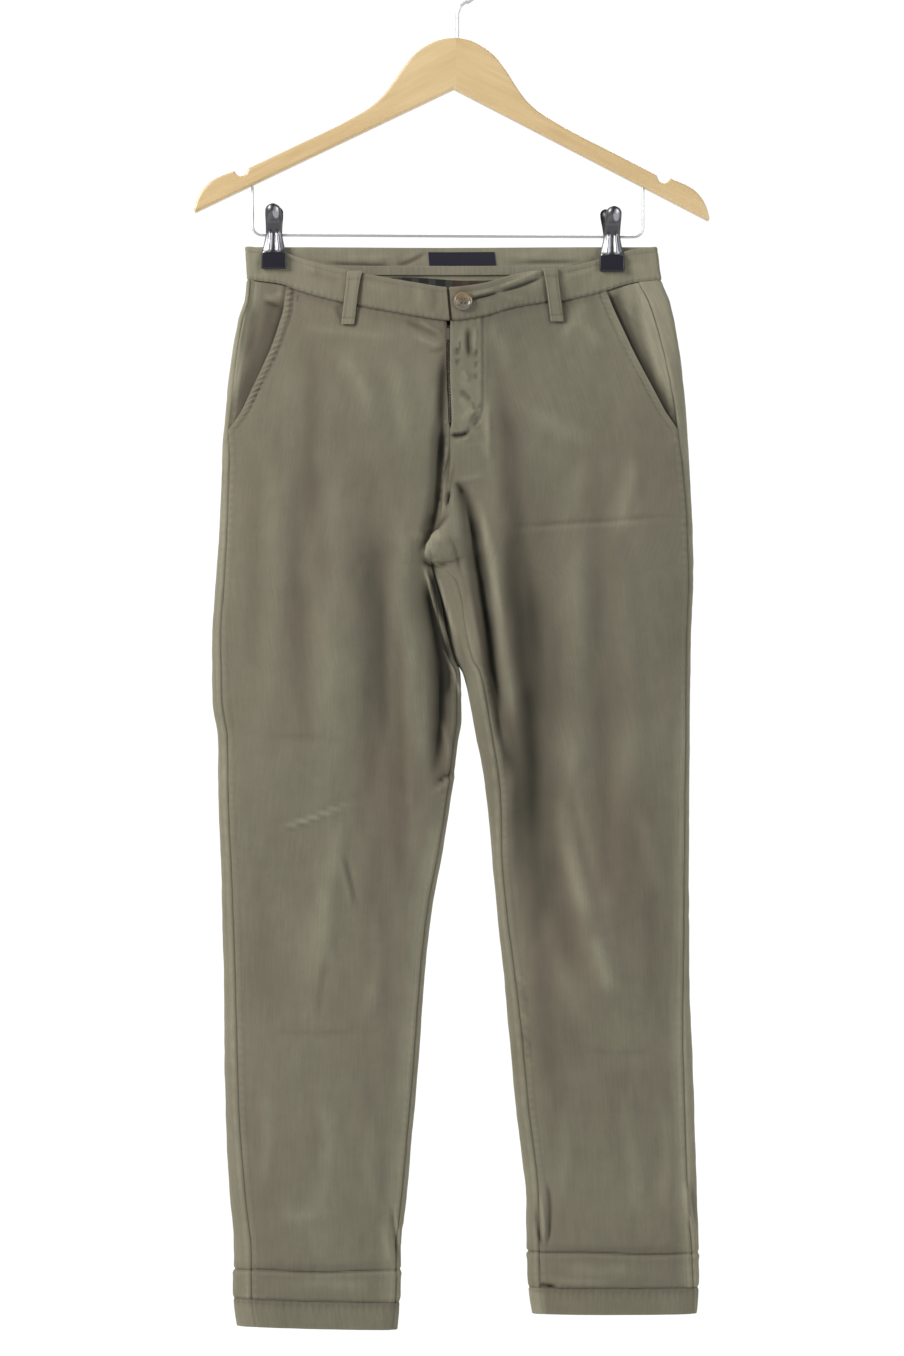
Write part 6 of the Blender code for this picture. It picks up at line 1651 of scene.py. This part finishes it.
tacks = []
for cloth, *ends in (("front_left_cloth", 3.0, -333.0, 3.0, -340.0),
                     ("front_left_cloth", -1.5, -411.5, 6.0, -411.2),
                     ("front_right_cloth", -137.0, -291.0, -137.5, -297.0)):
    tacks += bartack(cloth, *ends)
join_stitches("bartacks", tacks, 0.17, rise=0.12)
hole = []
for (ax, az), (bx, bz) in zip(BUTTONHOLE, BUTTONHOLE[1:]):
    for aside in (-1.3, 1.3):
        hole += bartack("waistband_front_left_cloth", ax, az + aside, bx, bz + aside, 1.7)
join_stitches("buttonhole_thread", hole, 0.18, rise=0.1)

# zip teeth: one short bar on each side of the middle in turn
ZIP_TOP_Z, ZIP_FOOT_Z, ZIP_PITCH = -333.0, -402.0, 1.35
teeth = []
for k, z in enumerate(np.arange(ZIP_TOP_Z, ZIP_FOOT_Z, -ZIP_PITCH)):
    x, y, _ = skin_point(smooth(CENTRE, 1, z), np.array(z), True, folded=False).tolist()
    x += 0.55 if k % 2 else -0.55
    teeth.append((Vector((x - 1.0, y + 3.0, z)), Vector((x + 1.0, y + 3.0, z)), Vector(FRONT_WAY)))
join_stitches("zip_teeth", teeth, 0.48, zip_metal, rise=0.15)


# ---------------------------------------------------------------- clips
PAD_WIDTH, PAD_HEIGHT, PAD_THICKNESS = 21.6, 13.8, 3.6
PAD_EDGE = 1.5            # radius of a pad's edges
PIVOT_DROP = 25.8         # the spring's drop below a plate's top
FLUTE_AT, FLUTE_WIDTH = 0.42, 0.22            # shares of the half width
DOME_RISE, DOME_DROP, DOME_REACH = 3.2, 7.0, 8.0      # of the thumb head: height, middle, half length
# name, x, z of the top, how far the front and back heads lean
CLIPS = (
    ("clip_right", -157.3, -213.3, math.radians(-1.0), math.radians(2.0)),
    ("clip_left", 134.6, -215.6, math.radians(3.6), math.radians(-8.0)),
)
# drop below the top, half width, reach of the outer face from the middle plane
CLIP_PLATE = (
    (0.0, 1.8, 11.6), (0.8, 3.8, 11.5), (2.4, 5.6, 11.2), (5.0, 6.8, 10.6), (9.0, 7.0, 9.5), (18.0, 6.8, 6.6),
    (24.5, 6.9, 5.2), (28.0, 7.4, 5.1), (41.7, 10.3, 6.2),
)


def make_clip_plate(name, x, top, side, way, tilt):
    """A pressed plate: a round thumb head, a waist at the spring and two flutes down to the pad, with painted
    highlights on the flutes and the head.
    """
    foot = CLIP_PLATE[-1][0]
    shares = np.linspace(-1.0, 1.0, 33)
    drops = np.concatenate([[0.0, 0.15, 0.4, 0.8, 1.3, 1.9], np.linspace(2.6, foot, 60)])
    share, drop = np.meshgrid(shares, drops, indexing="ij")
    middle = x - np.minimum(drop - PIVOT_DROP, 0.0) * math.tan(tilt)
    lower = ramp(drop, 21.0, 27.0) * ramp(drop, 41.6, 38.5)
    flutes = bell(np.abs(share) - FLUTE_AT, FLUTE_WIDTH)
    dome = DOME_RISE * (1.0 - share ** 2) * np.clip(1.0 - ((drop - DOME_DROP) / DOME_REACH) ** 2, 0.0, 1.0)
    face = smooth(CLIP_PLATE, 2, drop) - 1.5 * np.abs(share) ** 6 + lower * (1.35 * flutes - 0.5) + dome
    outer = np.stack([middle + share * smooth(CLIP_PLATE, 1, drop), way * face, top - drop], axis=-1)
    inner = outer - np.array([0.0, way * 0.9, 0.0])
    faces = shell_faces(*outer.shape[:2])
    made = new_object(f"{name}_{side}_plate_looks", both_grids(outer, inner), faces.tolist(), clip_steel,
                      60.0)
    made.data.materials.append(flute_steel)
    # painted highlights: the flutes and a spot on the head get the lighter copy of the steel, for the light's
    # reflections there
    share, drop = 0.5 * (share[:-1, :-1] + share[1:, 1:]), 0.5 * (drop[:-1, :-1] + drop[1:, 1:])
    painted_highlight = (np.abs(np.abs(share) - FLUTE_AT) < 0.17) & (drop > 25.0) & (drop < 41.0)
    painted_highlight |= ((share - 0.36) / 0.40) ** 2 + ((drop - 7.4) / 5.2) ** 2 < 1.0
    index = np.zeros(len(faces), dtype=int)
    index[:painted_highlight.size] = painted_highlight.ravel()
    made.data.polygons.foreach_set("material_index", index.tolist())
    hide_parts(f"{name}_{side}_plate")


def make_pad_looks(name, x, top, side, way):
    """A moulded pad with rounded edges."""
    middle = (MM * x, MM * way * (PINCH + 0.3 + 0.5 * PAD_THICKNESS), MM * (top - 0.5 * PAD_HEIGHT))
    box = bpy.data.meshes.new(f"{name}_{side}_pad_looks")
    work = bmesh.new()
    bmesh.ops.create_cube(work, size=1.0)
    bmesh.ops.scale(work, vec=(MM * PAD_WIDTH, MM * PAD_THICKNESS, MM * PAD_HEIGHT), verts=work.verts)
    bmesh.ops.bevel(work, geom=work.edges[:], offset=MM * PAD_EDGE, segments=4, affect="EDGES", profile=0.6)
    bmesh.ops.translate(work, vec=middle, verts=work.verts)
    work.to_mesh(box)
    work.free()
    made = riding(box, pad_rubber, 60.0)
    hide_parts(f"{name}_{side}_pad")


for name, x, top, front_tilt, back_tilt in CLIPS:
    for side, way, tilt in (("front", -1.0, front_tilt), ("back", 1.0, back_tilt)):
        make_clip_plate(name, x, top, side, way, tilt)
        make_pad_looks(name, x, top - CLIP_PLATE[-1][0] - 0.2, side, way)

# pieces that keep the CAD's form
for kept, look in (("hanger_body", wood), ("hanger_hook", wire), ("clip_bar", wire),
                   ("clip_right_spring_sleeve", clip_steel), ("clip_left_spring_sleeve", clip_steel),
                   ("zip_slider", zip_metal)):
    bpy.data.objects[kept].material_slots[0].material = look


# ---------------------------------------------------------------- studio
# name, place, aim, size, power and colour of each light, in metres and watts
LIGHTS = (
    ("key", (-2.3, -1.5, 0.9), (0.0, 0.0, -0.6), (1.0, 1.4), 98.0, (1.0, 0.985, 0.96)),
    ("fill", (2.2, -1.8, 0.1), (0.0, 0.0, -0.7), (0.9, 1.4), 30.0, (0.96, 0.98, 1.0)),
    ("rim", (0.3, 1.6, 1.2), (0.0, 0.0, -0.6), (1.4, 0.8), 14.0, (1.0, 1.0, 1.0)),
)
FLOOR_Z = -1.40
FLOOR_CORNERS = ((-2.5, -3.6), (2.5, -3.6), (2.5, 0.5), (-2.5, 0.5))
CAMERA_AT, CAMERA_LENS, CAMERA_SENSOR = (-0.0035, -3.2, -0.622), 98.3, 36.0


def area_light(name, place, aim, size, power, colour):
    lamp = bpy.data.lights.new(name, "AREA")
    lamp.shape = "RECTANGLE"
    lamp.size, lamp.size_y = size
    lamp.energy = power
    lamp.color = colour
    made = linked(name, lamp)
    made.location = place
    made.rotation_euler = (Vector(aim) - Vector(place)).to_track_quat("-Z", "Y").to_euler()


def studio_world():
    """White behind the object, dimmer on the camera's side."""
    world = bpy.data.worlds.new("studio")
    world.use_nodes = True
    bpy.context.scene.world = world
    tree = world.node_tree
    towards = axes(tree, tree.nodes.new("ShaderNodeTexCoord").outputs["Generated"])[1]
    level = node(tree, "MapRange", None, Value=towards, From_Min=-0.3, From_Max=0.7, To_Min=0.17, To_Max=1.05)
    tree.links.new(level, tree.nodes["Background"].inputs["Strength"])
    tree.nodes["Background"].inputs["Color"].default_value = (1.0, 1.0, 1.0, 1.0)


studio_world()
for light in LIGHTS:
    area_light(*light)

floor_mesh = bpy.data.meshes.new("studio_floor")
floor_mesh.from_pydata([(x, y, FLOOR_Z) for x, y in FLOOR_CORNERS], [], [(0, 1, 2, 3)])
floor_mesh.materials.append(material("pale_floor", (0.72, 0.72, 0.71), 0.8))
linked("studio_floor", floor_mesh)

camera_data = bpy.data.cameras.new("camera")
camera_data.sensor_fit = "AUTO"
camera_data.sensor_width = CAMERA_SENSOR
camera_data.lens = CAMERA_LENS
camera = linked("camera", camera_data)
camera.location = CAMERA_AT
camera.rotation_euler = (math.radians(90.0), 0.0, 0.0)
bpy.context.scene.camera = camera
bpy.context.scene.view_settings.view_transform = "Standard"
